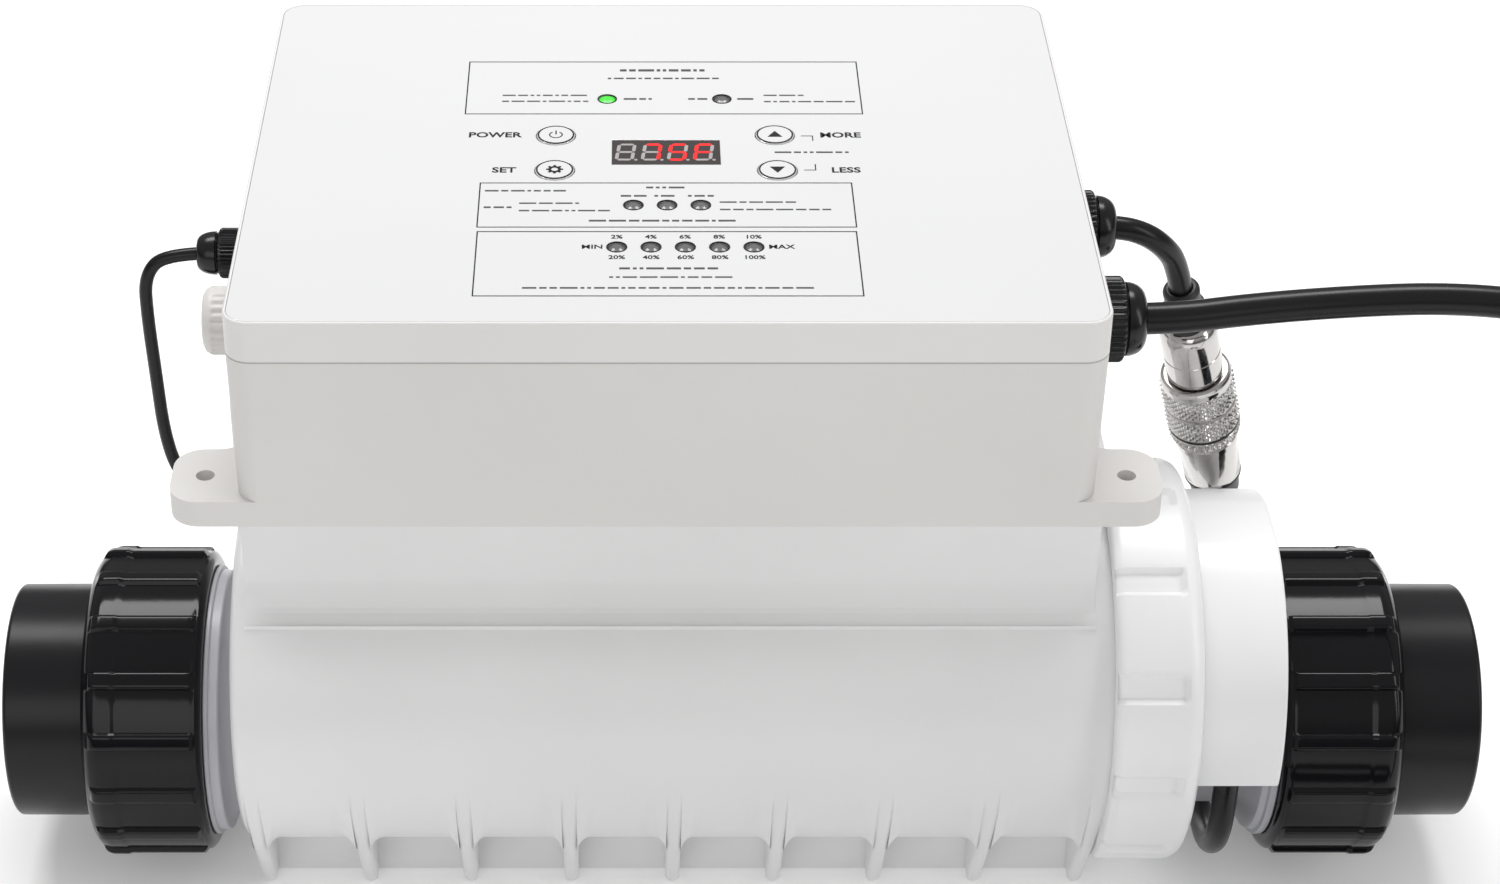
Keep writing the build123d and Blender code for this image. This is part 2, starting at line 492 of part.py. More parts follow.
SEAM_Z = 107.3
SEAM_Y = sqrt(SHELL_R ** 2 - (SEAM_Z - CELL_Z) ** 2)
SENSOR_HOLE_Z = 128.0
SHELF_X, SHELF_Z = 109.0, 160.0            # above the shelf the right end stands in line with the box
with BuildPart() as box_saddle:
    with BuildSketch(Plane.YZ.offset(SADDLE_LEFT)):
        with BuildLine():
            Polyline((-SEAM_Y, SEAM_Z), (SEAM_Y, SEAM_Z))
            ThreePointArc((SEAM_Y, SEAM_Z), (32.3, 112.9), (SADDLE_Y, 118.8))
            Polyline((SADDLE_Y, 118.8), (SADDLE_Y, BOX_BOTTOM), (-SADDLE_Y, BOX_BOTTOM), (-SADDLE_Y, 118.8))
            ThreePointArc((-SADDLE_Y, 118.8), (-32.3, 112.9), (-SEAM_Y, SEAM_Z))
        make_face()
        with Locations((0, CELL_Z)):
            Circle(SHELL_R, mode=Mode.SUBTRACT)
    extrude(amount=SADDLE_RIGHT - SADDLE_LEFT)
    with Locations((SADDLE_LEFT + WALL, 0, SEAM_Z - 5)):
        Box(SHELF_X - SADDLE_LEFT - 2 * WALL, 2 * (SADDLE_Y - WALL), BOX_BOTTOM - WALL - SEAM_Z + 5,
            align=FROM_LEFT, mode=Mode.SUBTRACT)
    with Locations(*[(x, y, BOX_BOTTOM - 1) for x, y in SADDLE_SCREWS]):
        Cylinder(4.6, 16, align=HIGH)
    with Locations(*[(x, y, BOX_BOTTOM) for x, y in SADDLE_SCREWS]):
        Cylinder(2.05, 14, align=HIGH, mode=Mode.SUBTRACT)
    with Locations(Location((SADDLE_LEFT, SENSOR_Y, SENSOR_HOLE_Z), (0, 90, 0))):
        Cylinder(SENSOR_D / 2 + 0.4, 10, mode=Mode.SUBTRACT)
    with Locations((SHELF_X, 0, SHELF_Z)):
        Box(SADDLE_RIGHT, 3 * SADDLE_Y, BOX_BOTTOM, align=FROM_LEFT, mode=Mode.SUBTRACT)
box_saddle.part.label = "box_saddle"
export_step(box_saddle.part, "parts/box_saddle.step")

# ---------------------------------------------------------------- flow switch in the chamber's roof
PIVOT_Z, PIN_R = 108.0, 1.5
with BuildPart() as flow_switch:
    with Locations((SWITCH_X, 0, CELL_Z + BORE_R - 2)):
        Cylinder(STEM_R, 12, align=LOW)
    with Locations((SWITCH_X, 0, CELL_Z + SHELL_R + 0.5)):
        Cylinder(11.0, 26, align=LOW)
    with Locations((SWITCH_X - 11, SENSOR_Y, SENSOR_HOLE_Z)):
        Box(4.0, 8.0, 7.0)
    for side in (-1, 1):
        with Locations((SWITCH_X, side * 4.2, PIVOT_Z - 3)):
            Box(5.0, 1.6, CELL_Z + BORE_R - PIVOT_Z + 3, align=LOW)
    with Locations(Location((SWITCH_X, 0, PIVOT_Z), (90, 0, 0))):
        Cylinder(PIN_R + 0.05, 20, mode=Mode.SUBTRACT)
flow_switch.part.label = "flow_switch"
export_step(flow_switch.part, "parts/flow_switch.step")

with BuildPart() as flow_paddle:
    with Locations(Location((SWITCH_X, 0, PIVOT_Z), (90, 0, 0))):
        Cylinder(PIN_R, 10)
        Cylinder(2.4, 6.0)
    with Locations((SWITCH_X, 0, PIVOT_Z)):
        Box(1.6, 5.0, 18, align=HIGH)
    with Locations((SWITCH_X, 0, PIVOT_Z - 16)):
        Box(1.6, 20.0, 24, align=HIGH)
flow_paddle.part.label = "flow_paddle"
export_step(flow_paddle.part, "parts/flow_paddle.step")

# ---------------------------------------------------------------- the unions
LIP_T = 4.0


def tailpiece_outline(face, end):
    """Pipe socket with its sealing flange, from the sealing face to the open end."""
    out = 1 if end > face else -1
    flange_end = face + out * 8.2
    bottom = end - out * SOCKET_DEPTH
    return [(face + out * 0.1, WATER_R), (bottom, WATER_R), (bottom, SOCKET_R), (end - out * 0.8, SOCKET_R),
            (end, SOCKET_R + 0.8), (end, TAIL_R - 0.6), (end - out * 0.6, TAIL_R), (flange_end, TAIL_R),
            (flange_end, FLANGE_R), (face + out * 0.1, FLANGE_R)]


def union_nut_outline(face, end):
    """Nut that draws the tailpiece's flange on to the threaded spigot."""
    out = 1 if end > face else -1
    lip = face + out * (8.2 + GAP)
    outer = lip + out * LIP_T
    inner = outer - out * NUT_LENGTH
    return [(inner, SPIGOT_R + GAP), (lip, SPIGOT_R + GAP), (lip, TAIL_R + GAP), (outer, TAIL_R + GAP),
            (outer, NUT_R - 5.0), (outer - out * 1.5, NUT_R - 2.2), (outer - out * 5.0, NUT_R),
            (inner + out * 2.0, NUT_R), (inner, NUT_R - 2.0)]


for side, face, end in (("left", LEFT_FACE, LEFT_END), ("right", RIGHT_FACE, RIGHT_END)):
    out = 1 if end > face else -1
    with BuildPart() as tailpiece:
        spin(tailpiece_outline(face, end), PIPE_LINE)
    tailpiece.part.label = f"{side}_tailpiece"
    export_step(tailpiece.part, f"parts/{side}_tailpiece.step")

    with BuildPart() as union_nut:
        spin(union_nut_outline(face, end), PIPE_LINE)
        rib_from = face + out * (8.2 + GAP + LIP_T - NUT_LENGTH + 3.0)
        with BuildSketch(Plane.YZ.offset(rib_from)):
            with Locations((0, UNION_Z)):
                with PolarLocations(RIB_R - 1.8, NUT_RIBS):
                    Rectangle(3.6, 4.2)
        extrude(amount=out * (NUT_LENGTH - 8.0))
    union_nut.part.label = f"{side}_union_nut"
    export_step(union_nut.part, f"parts/{side}_union_nut.step")

    with BuildPart() as union_oring:
        with Locations(Location((face - out * (ORING_R + 0.05), 0, UNION_Z), (0, 90, 0))):
            Torus(GROOVE_MID_R, ORING_R)
    union_oring.part.label = f"{side}_union_oring"
    export_step(union_oring.part, f"parts/{side}_union_oring.step")

# ---------------------------------------------------------------- the cell cartridge
DISC_R, DISC_FACE, NECK_FACE, COVER_FACE = 54.4, 146.0, 150.6, 154.4
COLLAR_R, COLLAR_LEFT, COLLAR_RIGHT = 61.6, 128.0, 154.0
SHOULDER_R = 48.2
HEAD_RING_X, HEAD_NECK_R = 174.0, 31.7
TERMINAL_Y, TERMINAL_Z, TERMINAL_R = 24.0, 94.5, 2.5
COVER_R, COVER_BOTTOM, COVER_FLAT, COVER_END = 52.0, 58.0, 118.0, 179.4
SEAL_R = 51.6

with BuildPart() as cell_head:
    spin([(DISC_FACE, 0), (NECK_FACE, 0), (NECK_FACE, DISC_R), (DISC_FACE, DISC_R)], LINE_UP)
    spin([(NECK_FACE - 1, 0), (COVER_FACE - 0.1, 0), (COVER_FACE - 0.1, SHOULDER_R),
          (NECK_FACE - 1, SHOULDER_R)], LINE_UP)
    spin([(DISC_FACE + 1, 0), (RIGHT_FACE, 0), (RIGHT_FACE, SPIGOT_R), (181.8, SPIGOT_R), (181.8, RING_R),
          (179.6, RING_R), (179.3, RING_R - 1.6), (177.4, RING_R - 1.9), (176.8, RING_R - 3.6),
          (HEAD_RING_X, HEAD_NECK_R + 1.5), (HEAD_RING_X - 1.5, HEAD_NECK_R), (DISC_FACE + 1, HEAD_NECK_R)],
         PIPE_LINE)
    spin(ring_outline(DISC_FACE - 1, RIGHT_FACE + 1, 0, WATER_R), PIPE_LINE, mode=Mode.SUBTRACT)
    spin(ring_outline(RIGHT_FACE - 2 * ORING_R - 0.1, RIGHT_FACE, GROOVE_MID_R - ORING_R - 0.05,
                      GROOVE_MID_R + ORING_R + 0.05), PIPE_LINE, mode=Mode.SUBTRACT)
    spin(ring_outline(DISC_FACE, DISC_FACE + 2 * ORING_R + 0.1, SEAL_R - ORING_R - 0.05,
                      SEAL_R + ORING_R + 0.05), LINE_UP, mode=Mode.SUBTRACT)
    for side in (-1, 1):
        with Locations(Location((DISC_FACE + 4, side * TERMINAL_Y, TERMINAL_Z), (0, 90, 0))):
            Cylinder(TERMINAL_R + 0.05, 20, mode=Mode.SUBTRACT)
cell_head.part.label = "cell_head"
export_step(cell_head.part, "parts/cell_head.step")

with BuildPart() as head_oring:
    with Locations(Location((DISC_FACE + ORING_R + 0.05, 0, CELL_Z), (0, 90, 0))):
        Torus(SEAL_R, ORING_R)
head_oring.part.label = "head_oring"
export_step(head_oring.part, "parts/head_oring.step")

with BuildPart() as head_cover:
    for start, amount, radius, bottom, flat, neck_r, mode in (
        (COVER_FACE, COVER_END - COVER_FACE, COVER_R, COVER_BOTTOM, COVER_FLAT, HEAD_NECK_R + 0.3, Mode.ADD),
        (COVER_FACE, COVER_END - COVER_FACE - 2.5, COVER_R - 3, COVER_BOTTOM + 3, COVER_FLAT - 3,
         HEAD_NECK_R + 3.3, Mode.SUBTRACT),
    ):
        with BuildSketch(Plane.YZ.offset(start)):
            with Locations((0, CELL_Z)):
                Circle(radius)
            with Locations((0, (bottom + flat) / 2)):
                Rectangle(2 * COVER_R + 2, flat - bottom, mode=Mode.INTERSECT)
            with Locations((0, UNION_Z)):
                Circle(neck_r, mode=Mode.SUBTRACT)
        extrude(amount=amount, mode=mode)
    spin(ring_outline(HEAD_RING_X - 2, COVER_END, 0, RING_R + 0.4), PIPE_LINE, mode=Mode.SUBTRACT)
head_cover.part.label = "head_cover"
export_step(head_cover.part, "parts/head_cover.step")

with BuildPart() as collar_nut:
    spin([(COLLAR_LEFT, SHELL_R + GAP), (NECK_FACE + GAP, SHELL_R + GAP), (NECK_FACE + GAP, SHOULDER_R + GAP),
          (COLLAR_RIGHT, SHOULDER_R + GAP), (COLLAR_RIGHT, COLLAR_R - 4), (COLLAR_RIGHT - 1.2, COLLAR_R - 1.2),
          (COLLAR_RIGHT - 4, COLLAR_R), (COLLAR_LEFT + 2, COLLAR_R), (COLLAR_LEFT, COLLAR_R - 2)], LINE_UP)
    with BuildSketch(Plane.YZ.offset(COLLAR_LEFT)):
        with Locations((0, CELL_Z)):
            with PolarLocations(COLLAR_R, 12, start_angle=29.0):
                Rectangle(2.4, 7.4)
    extrude(amount=COLLAR_RIGHT - COLLAR_LEFT - 4.5, mode=Mode.SUBTRACT)
collar_nut.part.label = "collar_nut"
export_step(collar_nut.part, "parts/collar_nut.step")

PLATE_X, PLATE_LENGTH, PLATE_LOW, PLATE_H, PLATE_T = -20.0, 150.0, 42.0, 50.0, 1.0
PLATE_COUNT, PLATE_PITCH = 9, 6.0
with BuildPart() as electrode_plates:
    for i in range(PLATE_COUNT):
        with Locations((PLATE_X + PLATE_LENGTH / 2, PLATE_PITCH * (i - 4), PLATE_LOW)):
            Box(PLATE_LENGTH, PLATE_T, PLATE_H, align=LOW)
electrode_plates.part.label = "electrode_plates"
export_step(electrode_plates.part, "parts/electrode_plates.step")

with BuildPart() as plate_carrier:
    carrier_y, carrier_t = 28.5, 2.0
    for side in (-1, 1):
        with Locations((PLATE_X - 2, side * (carrier_y - carrier_t / 2), PLATE_LOW - 3)):
            Box(DISC_FACE - PLATE_X + 2, carrier_t, 26, align=(Align.MIN, Align.CENTER, Align.MIN))
            Box(PLATE_LENGTH - 20, carrier_t, PLATE_H + 6, align=(Align.MIN, Align.CENTER, Align.MIN))
    for x in (PLATE_X + 8, PLATE_X + PLATE_LENGTH - 32):
        for z in (PLATE_LOW - 3, PLATE_LOW + PLATE_H):
            with Locations((x, 0, z)):
                Box(5.0, 2 * carrier_y, 3.0, align=LOW)
plate_carrier.part.label = "plate_carrier"
export_step(plate_carrier.part, "parts/plate_carrier.step")

with BuildPart() as terminal_rods:
    for side in (-1, 1):
        rod_x = PLATE_X + PLATE_LENGTH - 25
        with Locations(Location((rod_x, side * TERMINAL_Y, TERMINAL_Z), (0, 90, 0))):
            Cylinder(TERMINAL_R, 168 - rod_x, align=LOW)
terminal_rods.part.label = "terminal_rods"
export_step(terminal_rods.part, "parts/terminal_rods.step")

# ---------------------------------------------------------------- the cell's lead and its connector
BOOT_TOP = (151.4, 37.6, 177.6)
HANG = (0.243, 0.255, -0.936)
PARTING = 67.0           # where the two halves meet, along the connector
SOCKET_END = 98.0
CONNECTOR_LINE = line_at(BOOT_TOP, HANG)
hang = Vector(*HANG).normalized()

with BuildPart() as connector_plug:
    spin([(0, 0), (0, 4.4), (1.5, 5.6), (6, 5.3), (8, 6.4), (15, 6.4), (17, 8.0), (20, 8.8), (37.5, 8.8),
          (37.5, 8.2), (PARTING - 0.1, 8.2), (PARTING - 0.1, 0)], CONNECTOR_LINE)
connector_plug.part.label = "connector_plug"
export_step(connector_plug.part, "parts/connector_plug.step")

with BuildPart() as coupling_ring:
    spin([(38, 8.5), (PARTING - 0.2, 8.5), (PARTING - 0.2, 10.4), (PARTING - 1.6, 11.3), (53, 11.3),
          (52, 10.5), (50.5, 10.5), (49.5, 11.3), (39, 11.3), (38, 10.6)], CONNECTOR_LINE)
coupling_ring.part.label = "coupling_ring"
export_step(coupling_ring.part, "parts/coupling_ring.step")

with BuildPart() as connector_socket:
    spin([(PARTING + 0.1, 0), (PARTING + 0.1, 10.2), (80, 9.6), (81, 8.3), (SOCKET_END - 3, 8.3),
          (SOCKET_END, 6.6), (SOCKET_END, 0)], CONNECTOR_LINE)
connector_socket.part.label = "connector_socket"
export_step(connector_socket.part, "parts/connector_socket.step")

SOCKET_TIP = Vector(*BOOT_TOP) + hang * SOCKET_END
OUTPUT_ROUTE = [
    (RIGHT_WALL + STUB_END, OUTPUT_Y, RIGHT_LEAD_Z),
    (129.8, OUTPUT_Y, RIGHT_LEAD_Z),
    (137.6, 28.6, 201.2),
    (143.7, 30.8, 195.8),
    tuple(Vector(*BOOT_TOP) - hang * 11.0),
    BOOT_TOP,
]
CELL_EXIT = (164.7, -47.2)
CELL_ROUTE = [
    tuple(SOCKET_TIP),
    tuple(SOCKET_TIP + hang * 15.0),
    (180.4, 68.6, 54.0),
    (178.6, 64.0, 36.6),
    (175.0, 51.6, 22.4),
    (171.2, 34.0, 12.8),
    (168.6, 12.0, 9.0),
    (167.2, -10.0, 9.6),
    (166.0, -28.0, 16.4),
    (165.2, -41.0, 28.2),
    (*CELL_EXIT, 43.5),
    (*CELL_EXIT, COVER_BOTTOM),
]
SENSOR_ROUTE = [
    (LEFT_WALL - STUB_END, SENSOR_Y, LEFT_Z),
    (-144.4, SENSOR_Y, LEFT_Z),
    (-151.0, -2.2, 205.6),
    (-151.2, -2.4, 192.0),
    (-150.4, -2.2, 171.0),
    (-149.8, -1.6, 152.0),
    (-147.2, -1.4, 138.0),
    (-140.4, -1.8, 129.6),
    (-130.0, SENSOR_Y, SENSOR_HOLE_Z),
    (SWITCH_X - 13, SENSOR_Y, SENSOR_HOLE_Z),
]
for cord_name, route, diameter in (
    ("output_cord", OUTPUT_ROUTE, OUTPUT_D),
    ("cell_cord", CELL_ROUTE, CELL_D),
    ("sensor_cord", SENSOR_ROUTE, SENSOR_D),
):
    with BuildPart() as cord:
        cord_tube(cord_name, route, diameter)
    cord.part.label = cord_name
    export_step(cord.part, f"parts/{cord_name}.step")

# ---------------------------------------------------------------- the mains lead, put away on the floor
COIL_AT = (229.5, -203.0)
TURN_OUT_R, TURN_IN_R = 58.5, 40.5         # two turns spiral in, and one and a half spiral out on top of them
STUB = 36.0
COIL_IN = (COIL_AT[0] + TURN_OUT_R, COIL_AT[1] + STUB, MAINS_D / 2)
COIL_OUT = (COIL_AT[0] - TURN_OUT_R, COIL_AT[1] + STUB, MAINS_D / 2)
MAINS_ROUTE = [
    (RIGHT_WALL + STUB_END, MAINS_Y, RIGHT_LEAD_Z),
    (138.0, MAINS_Y, RIGHT_LEAD_Z),
    (160.0, -23.0, 207.2),
    (187.0, -23.2, 209.8),
    (213.0, -23.2, 210.9),
    (238.0, -24.6, 209.4),
    (259.0, -30.0, 202.0),
    (275.0, -39.5, 188.0),
    (282.0, -51.0, 168.0),
    (286.4, -63.0, 144.0),
    (288.2, -74.0, 118.0),
    (288.8, -84.0, 92.0),
    (288.8, -93.4, 67.0),
    (288.5, -103.0, 46.0),
    (288.3, -111.8, 28.4),
    (288.1, -123.6, 15.8),
    (288.0, -138.0, 7.4),
    (288.0, -152.5, MAINS_D / 2),
    COIL_IN,
]
with BuildPart() as mains_cord:
    cord_tube("mains_cord", MAINS_ROUTE, MAINS_D)
mains_cord.part.label = "mains_cord"
export_step(mains_cord.part, "parts/mains_cord.step")

with BuildPart() as mains_coil:
    with Locations((*COIL_AT, 0)):
        Cylinder(TURN_OUT_R + MAINS_D / 2, 2 * MAINS_D, align=LOW)
        Cylinder(TURN_IN_R - MAINS_D / 2, 2 * MAINS_D, align=LOW, mode=Mode.SUBTRACT)
    for x, y, z in (COIL_IN, COIL_OUT):
        with Locations(Location((x, y, z), (90, 0, 0))):
            Cylinder(MAINS_D / 2, STUB, align=LOW)
mains_coil.part.label = "mains_coil"
export_step(mains_coil.part, "parts/mains_coil.step")

PLUG_H, PLUG_W, PLUG_L = 24.0, 30.0, 38.0
RELIEF_L, RELIEF_R = 30.0, 8.0
plug_y = COIL_OUT[1] + RELIEF_L
with BuildPart() as mains_plug:
    for y, radius, height in ((COIL_OUT[1], MAINS_D / 2, MAINS_D / 2), (plug_y + 1, RELIEF_R, PLUG_H / 2)):
        with BuildSketch(Plane.XZ.offset(-y)):
            with Locations((COIL_OUT[0], height)):
                Circle(radius)
    loft(ruled=True)
    with BuildSketch(Plane.XZ.offset(-plug_y)):
        with Locations((COIL_OUT[0], PLUG_H / 2)):
            RectangleRounded(PLUG_W, PLUG_H, 6.0)
    extrude(amount=-PLUG_L)
    blade_y = plug_y + PLUG_L
    for side in (-1, 1):
        with Locations((COIL_OUT[0] + side * 6.35, blade_y + 8.5, PLUG_H / 2 + 3.0)):
            Box(1.5, 19.0, 6.4)
    with Locations(Location((COIL_OUT[0], blade_y - 1, PLUG_H / 2 - 6.0), (-90, 0, 0))):
        Cylinder(2.4, 21.5, align=LOW)
mains_plug.part.label = "mains_plug"
export_step(mains_plug.part, "parts/mains_plug.step")
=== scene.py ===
"""Salt chlorine generator: looks of the control box, the cell, its unions, the leads and the connector.

Everything is in metres in the part's own frame: +X along the pipe to the cell's head, +Y to the back, +Z up.
Outlines and places are written in millimetres and scaled by MM.
"""
from math import asin, cos, pi, radians, sin, sqrt

import bmesh
import bpy
from mathutils import Matrix, Vector


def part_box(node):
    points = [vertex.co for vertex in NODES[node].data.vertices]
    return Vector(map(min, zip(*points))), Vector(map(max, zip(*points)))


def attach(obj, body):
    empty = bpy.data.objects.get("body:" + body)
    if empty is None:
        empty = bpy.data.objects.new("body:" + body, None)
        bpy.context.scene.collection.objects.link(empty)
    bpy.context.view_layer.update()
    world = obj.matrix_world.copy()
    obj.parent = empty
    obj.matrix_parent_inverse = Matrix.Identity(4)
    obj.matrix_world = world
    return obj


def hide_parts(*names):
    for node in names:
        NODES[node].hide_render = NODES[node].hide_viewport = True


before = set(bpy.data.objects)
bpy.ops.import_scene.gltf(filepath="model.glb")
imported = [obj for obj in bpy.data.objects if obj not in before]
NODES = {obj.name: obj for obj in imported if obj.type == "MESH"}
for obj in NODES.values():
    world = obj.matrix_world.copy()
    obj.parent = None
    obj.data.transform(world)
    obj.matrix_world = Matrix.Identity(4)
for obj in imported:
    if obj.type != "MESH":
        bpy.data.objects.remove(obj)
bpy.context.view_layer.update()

MM = 0.001
SCENE = bpy.context.scene

# ------------------------ sizes shared by the pieces, in millimetres
CELL_Z, UNION_Z = 67.0, 50.6
BOX_X, BOX_W, BOX_D = -3.6, 228.0, 182.0
LID_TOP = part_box("panel_overlay")[1].z / MM
SHELL_R, BORE_R = 55.1, 49.0
SPIGOT_R, RING_R, NECK_R, WATER_R = 40.0, 41.7, 33.0, 26.5
LEFT_FACE, RIGHT_FACE = -165.0, 206.0
LEFT_END, RIGHT_END = -202.0, 243.0
RIGHT_WALL, LEFT_WALL = 110.15, -117.35
MAINS_Y, OUTPUT_Y, RIGHT_LEAD_Z = -23.0, 28.0, 203.9
SENSOR_Y, FUSE_Y, LEFT_Z = -2.0, -38.0, 212.8
MAINS_D, OUTPUT_D, SENSOR_D, CELL_D = 9.0, 7.0, 3.8, 7.5
HANG = Vector((0.243, 0.255, -0.936)).normalized()
BOOT_TOP = Vector((151.4, 37.6, 177.6))
SOCKET_TIP = BOOT_TOP + HANG * 98.0


# ------------------------ camera
def make_camera():
    """Looks down at the front from 34 degrees above level, with the object left of the lens axis."""
    lens = bpy.data.cameras.new("camera")
    lens.lens = 76.8
    lens.sensor_width = 36.0
    lens.shift_x = 0.08
    camera = bpy.data.objects.new("camera", lens)
    camera.location = (-0.0132, -0.7814, 0.6741)
    camera.rotation_euler = (radians(56.0), 0.0, 0.0)
    SCENE.collection.objects.link(camera)
    SCENE.camera = camera


make_camera()


# ------------------------ materials
def new_material(name):
    """A node material with its principled shader and an object-space coordinate."""
    material = bpy.data.materials.new(name)
    material.use_nodes = True
    tree = material.node_tree
    shader = tree.nodes["Principled BSDF"]
    coords = tree.nodes.new("ShaderNodeTexCoord")
    return material, tree, shader, coords.outputs["Object"]


def add_noise(tree, place, scale, detail=3.0, roughness=0.5):
    """Noise of about 1/scale metres per blob."""
    noise = tree.nodes.new("ShaderNodeTexNoise")
    noise.inputs["Scale"].default_value = scale
    noise.inputs["Detail"].default_value = detail
    noise.inputs["Roughness"].default_value = roughness
    tree.links.new(place, noise.inputs["Vector"])
    return noise.outputs["Fac"]


def add_range(tree, value, low, high, from_low=0.3, from_high=0.7):
    """Map the middle of a noise on to low...high."""
    node = tree.nodes.new("ShaderNodeMapRange")
    node.inputs["From Min"].default_value = from_low
    node.inputs["From Max"].default_value = from_high
    node.inputs["To Min"].default_value = low
    node.inputs["To Max"].default_value = high
    tree.links.new(value, node.inputs["Value"])
    return node.outputs["Result"]


def add_mix(tree, factor, first, second):
    """Blend two colours by a factor."""
    node = tree.nodes.new("ShaderNodeMix")
    node.data_type = "RGBA"
    node.inputs["A"].default_value = (*first, 1.0)
    node.inputs["B"].default_value = (*second, 1.0)
    tree.links.new(factor, node.inputs["Factor"])
    return node.outputs["Result"]


def add_bump(tree, shader, height, depth, strength=1.0):
    """Relief of about depth metres on the shader's normal."""
    bump = tree.nodes.new("ShaderNodeBump")
    bump.inputs["Strength"].default_value = strength
    bump.inputs["Distance"].default_value = depth
    tree.links.new(height, bump.inputs["Height"])
    tree.links.new(bump.outputs["Normal"], shader.inputs["Normal"])


def stretched(tree, place, scale):
    """Coordinates stretched along each axis, for brushed or extruded streaks."""
    mapping = tree.nodes.new("ShaderNodeMapping")
    mapping.inputs["Scale"].default_value = scale
    tree.links.new(place, mapping.inputs["Vector"])
    return mapping.outputs["Vector"]


def plastic(name, colour, rough, grain=900.0, depth=0.00001, mottle=0.03, coat=0.0, gloss_level=0.5):
    """Moulded plastic: fine grain in relief, faint flow mottling and uneven gloss."""
    material, tree, shader, place = new_material(name)
    cloud = add_noise(tree, place, 14.0, 4.0)
    dark = [c * (1.0 - mottle) for c in colour]
    light = [min(1.0, c * (1.0 + mottle)) for c in colour]
    tone = add_mix(tree, add_range(tree, cloud, 0.0, 1.0), dark, light)
    tree.links.new(tone, shader.inputs["Base Color"])
    patches = add_noise(tree, place, 60.0, 5.0)
    gloss = add_range(tree, patches, rough * 0.94, min(1.0, rough * 1.07))
    tree.links.new(gloss, shader.inputs["Roughness"])
    add_bump(tree, shader, add_noise(tree, place, grain, 2.0), depth)
    shader.inputs["Coat Weight"].default_value = coat
    shader.inputs["Coat Roughness"].default_value = 0.06
    shader.inputs["IOR"].default_value = 1.49
    shader.inputs["Specular IOR Level"].default_value = gloss_level
    return material


def metal(name, colour, rough, streak=(40.0, 40.0, 40.0), depth=0.000003):
    """Plated or drawn metal with fine scratches and slightly uneven polish."""
    material, tree, shader, place = new_material(name)
    shader.inputs["Metallic"].default_value = 1.0
    scratches = add_noise(tree, stretched(tree, place, streak), 25.0, 6.0, 0.65)
    dark = [c * 0.90 for c in colour]
    tone = add_mix(tree, add_range(tree, scratches, 0.0, 1.0), dark, colour)
    tree.links.new(tone, shader.inputs["Base Color"])
    gloss = add_range(tree, scratches, rough * 0.7, rough * 1.4)
    tree.links.new(gloss, shader.inputs["Roughness"])
    add_bump(tree, shader, scratches, depth)
    return material


def glow(name, colour, strength, rough=0.25):
    """A lit lens: coloured plastic that also gives light."""
    material, tree, shader, place = new_material(name)
    specks = add_noise(tree, place, 900.0, 2.0)
    tone = add_mix(tree, add_range(tree, specks, 0.0, 1.0), [c * 0.85 for c in colour], colour)
    tree.links.new(tone, shader.inputs["Base Color"])
    tree.links.new(tone, shader.inputs["Emission Color"])
    shader.inputs["Emission Strength"].default_value = strength
    shader.inputs["Roughness"].default_value = rough
    return material


def board_material():
    """Green solder mask with darker copper pours under it."""
    material, tree, shader, place = new_material("circuit_board")
    bricks = tree.nodes.new("ShaderNodeTexBrick")
    bricks.inputs["Color1"].default_value = (0.010, 0.090, 0.035, 1.0)
    bricks.inputs["Color2"].default_value = (0.014, 0.125, 0.050, 1.0)
    bricks.inputs["Mortar"].default_value = (0.02, 0.20, 0.08, 1.0)
    bricks.inputs["Scale"].default_value = 90.0
    bricks.inputs["Mortar Size"].default_value = 0.012
    tree.links.new(place, bricks.inputs["Vector"])
    tree.links.new(bricks.outputs["Color"], shader.inputs["Base Color"])
    shader.inputs["Roughness"].default_value = 0.35
    add_bump(tree, shader, bricks.outputs["Fac"], 0.00003)
    return material


def winding_material():
    """Enamelled copper wire, laid in close turns."""
    material, tree, shader, place = new_material("copper_winding")
    wave = tree.nodes.new("ShaderNodeTexWave")
    wave.bands_direction = "Z"
    wave.inputs["Scale"].default_value = 400.0
    wave.inputs["Distortion"].default_value = 0.4
    tree.links.new(place, wave.inputs["Vector"])
    tone = add_mix(tree, wave.outputs["Fac"], (0.20, 0.06, 0.02), (0.70, 0.28, 0.10))
    tree.links.new(tone, shader.inputs["Base Color"])
    shader.inputs["Metallic"].default_value = 0.8
    shader.inputs["Roughness"].default_value = 0.3
    add_bump(tree, shader, wave.outputs["Fac"], 0.0002)
    return material


def smoked_material():
    """Smoked clear window over the display."""
    material, tree, shader, place = new_material("window_film")
    haze = add_noise(tree, place, 40.0, 3.0)
    tone = add_mix(tree, haze, (0.20, 0.18, 0.18), (0.26, 0.24, 0.24))
    tree.links.new(tone, shader.inputs["Base Color"])
    shader.inputs["Transmission Weight"].default_value = 0.85
    shader.inputs["Roughness"].default_value = 0.06
    shader.inputs["IOR"].default_value = 1.45
    return material


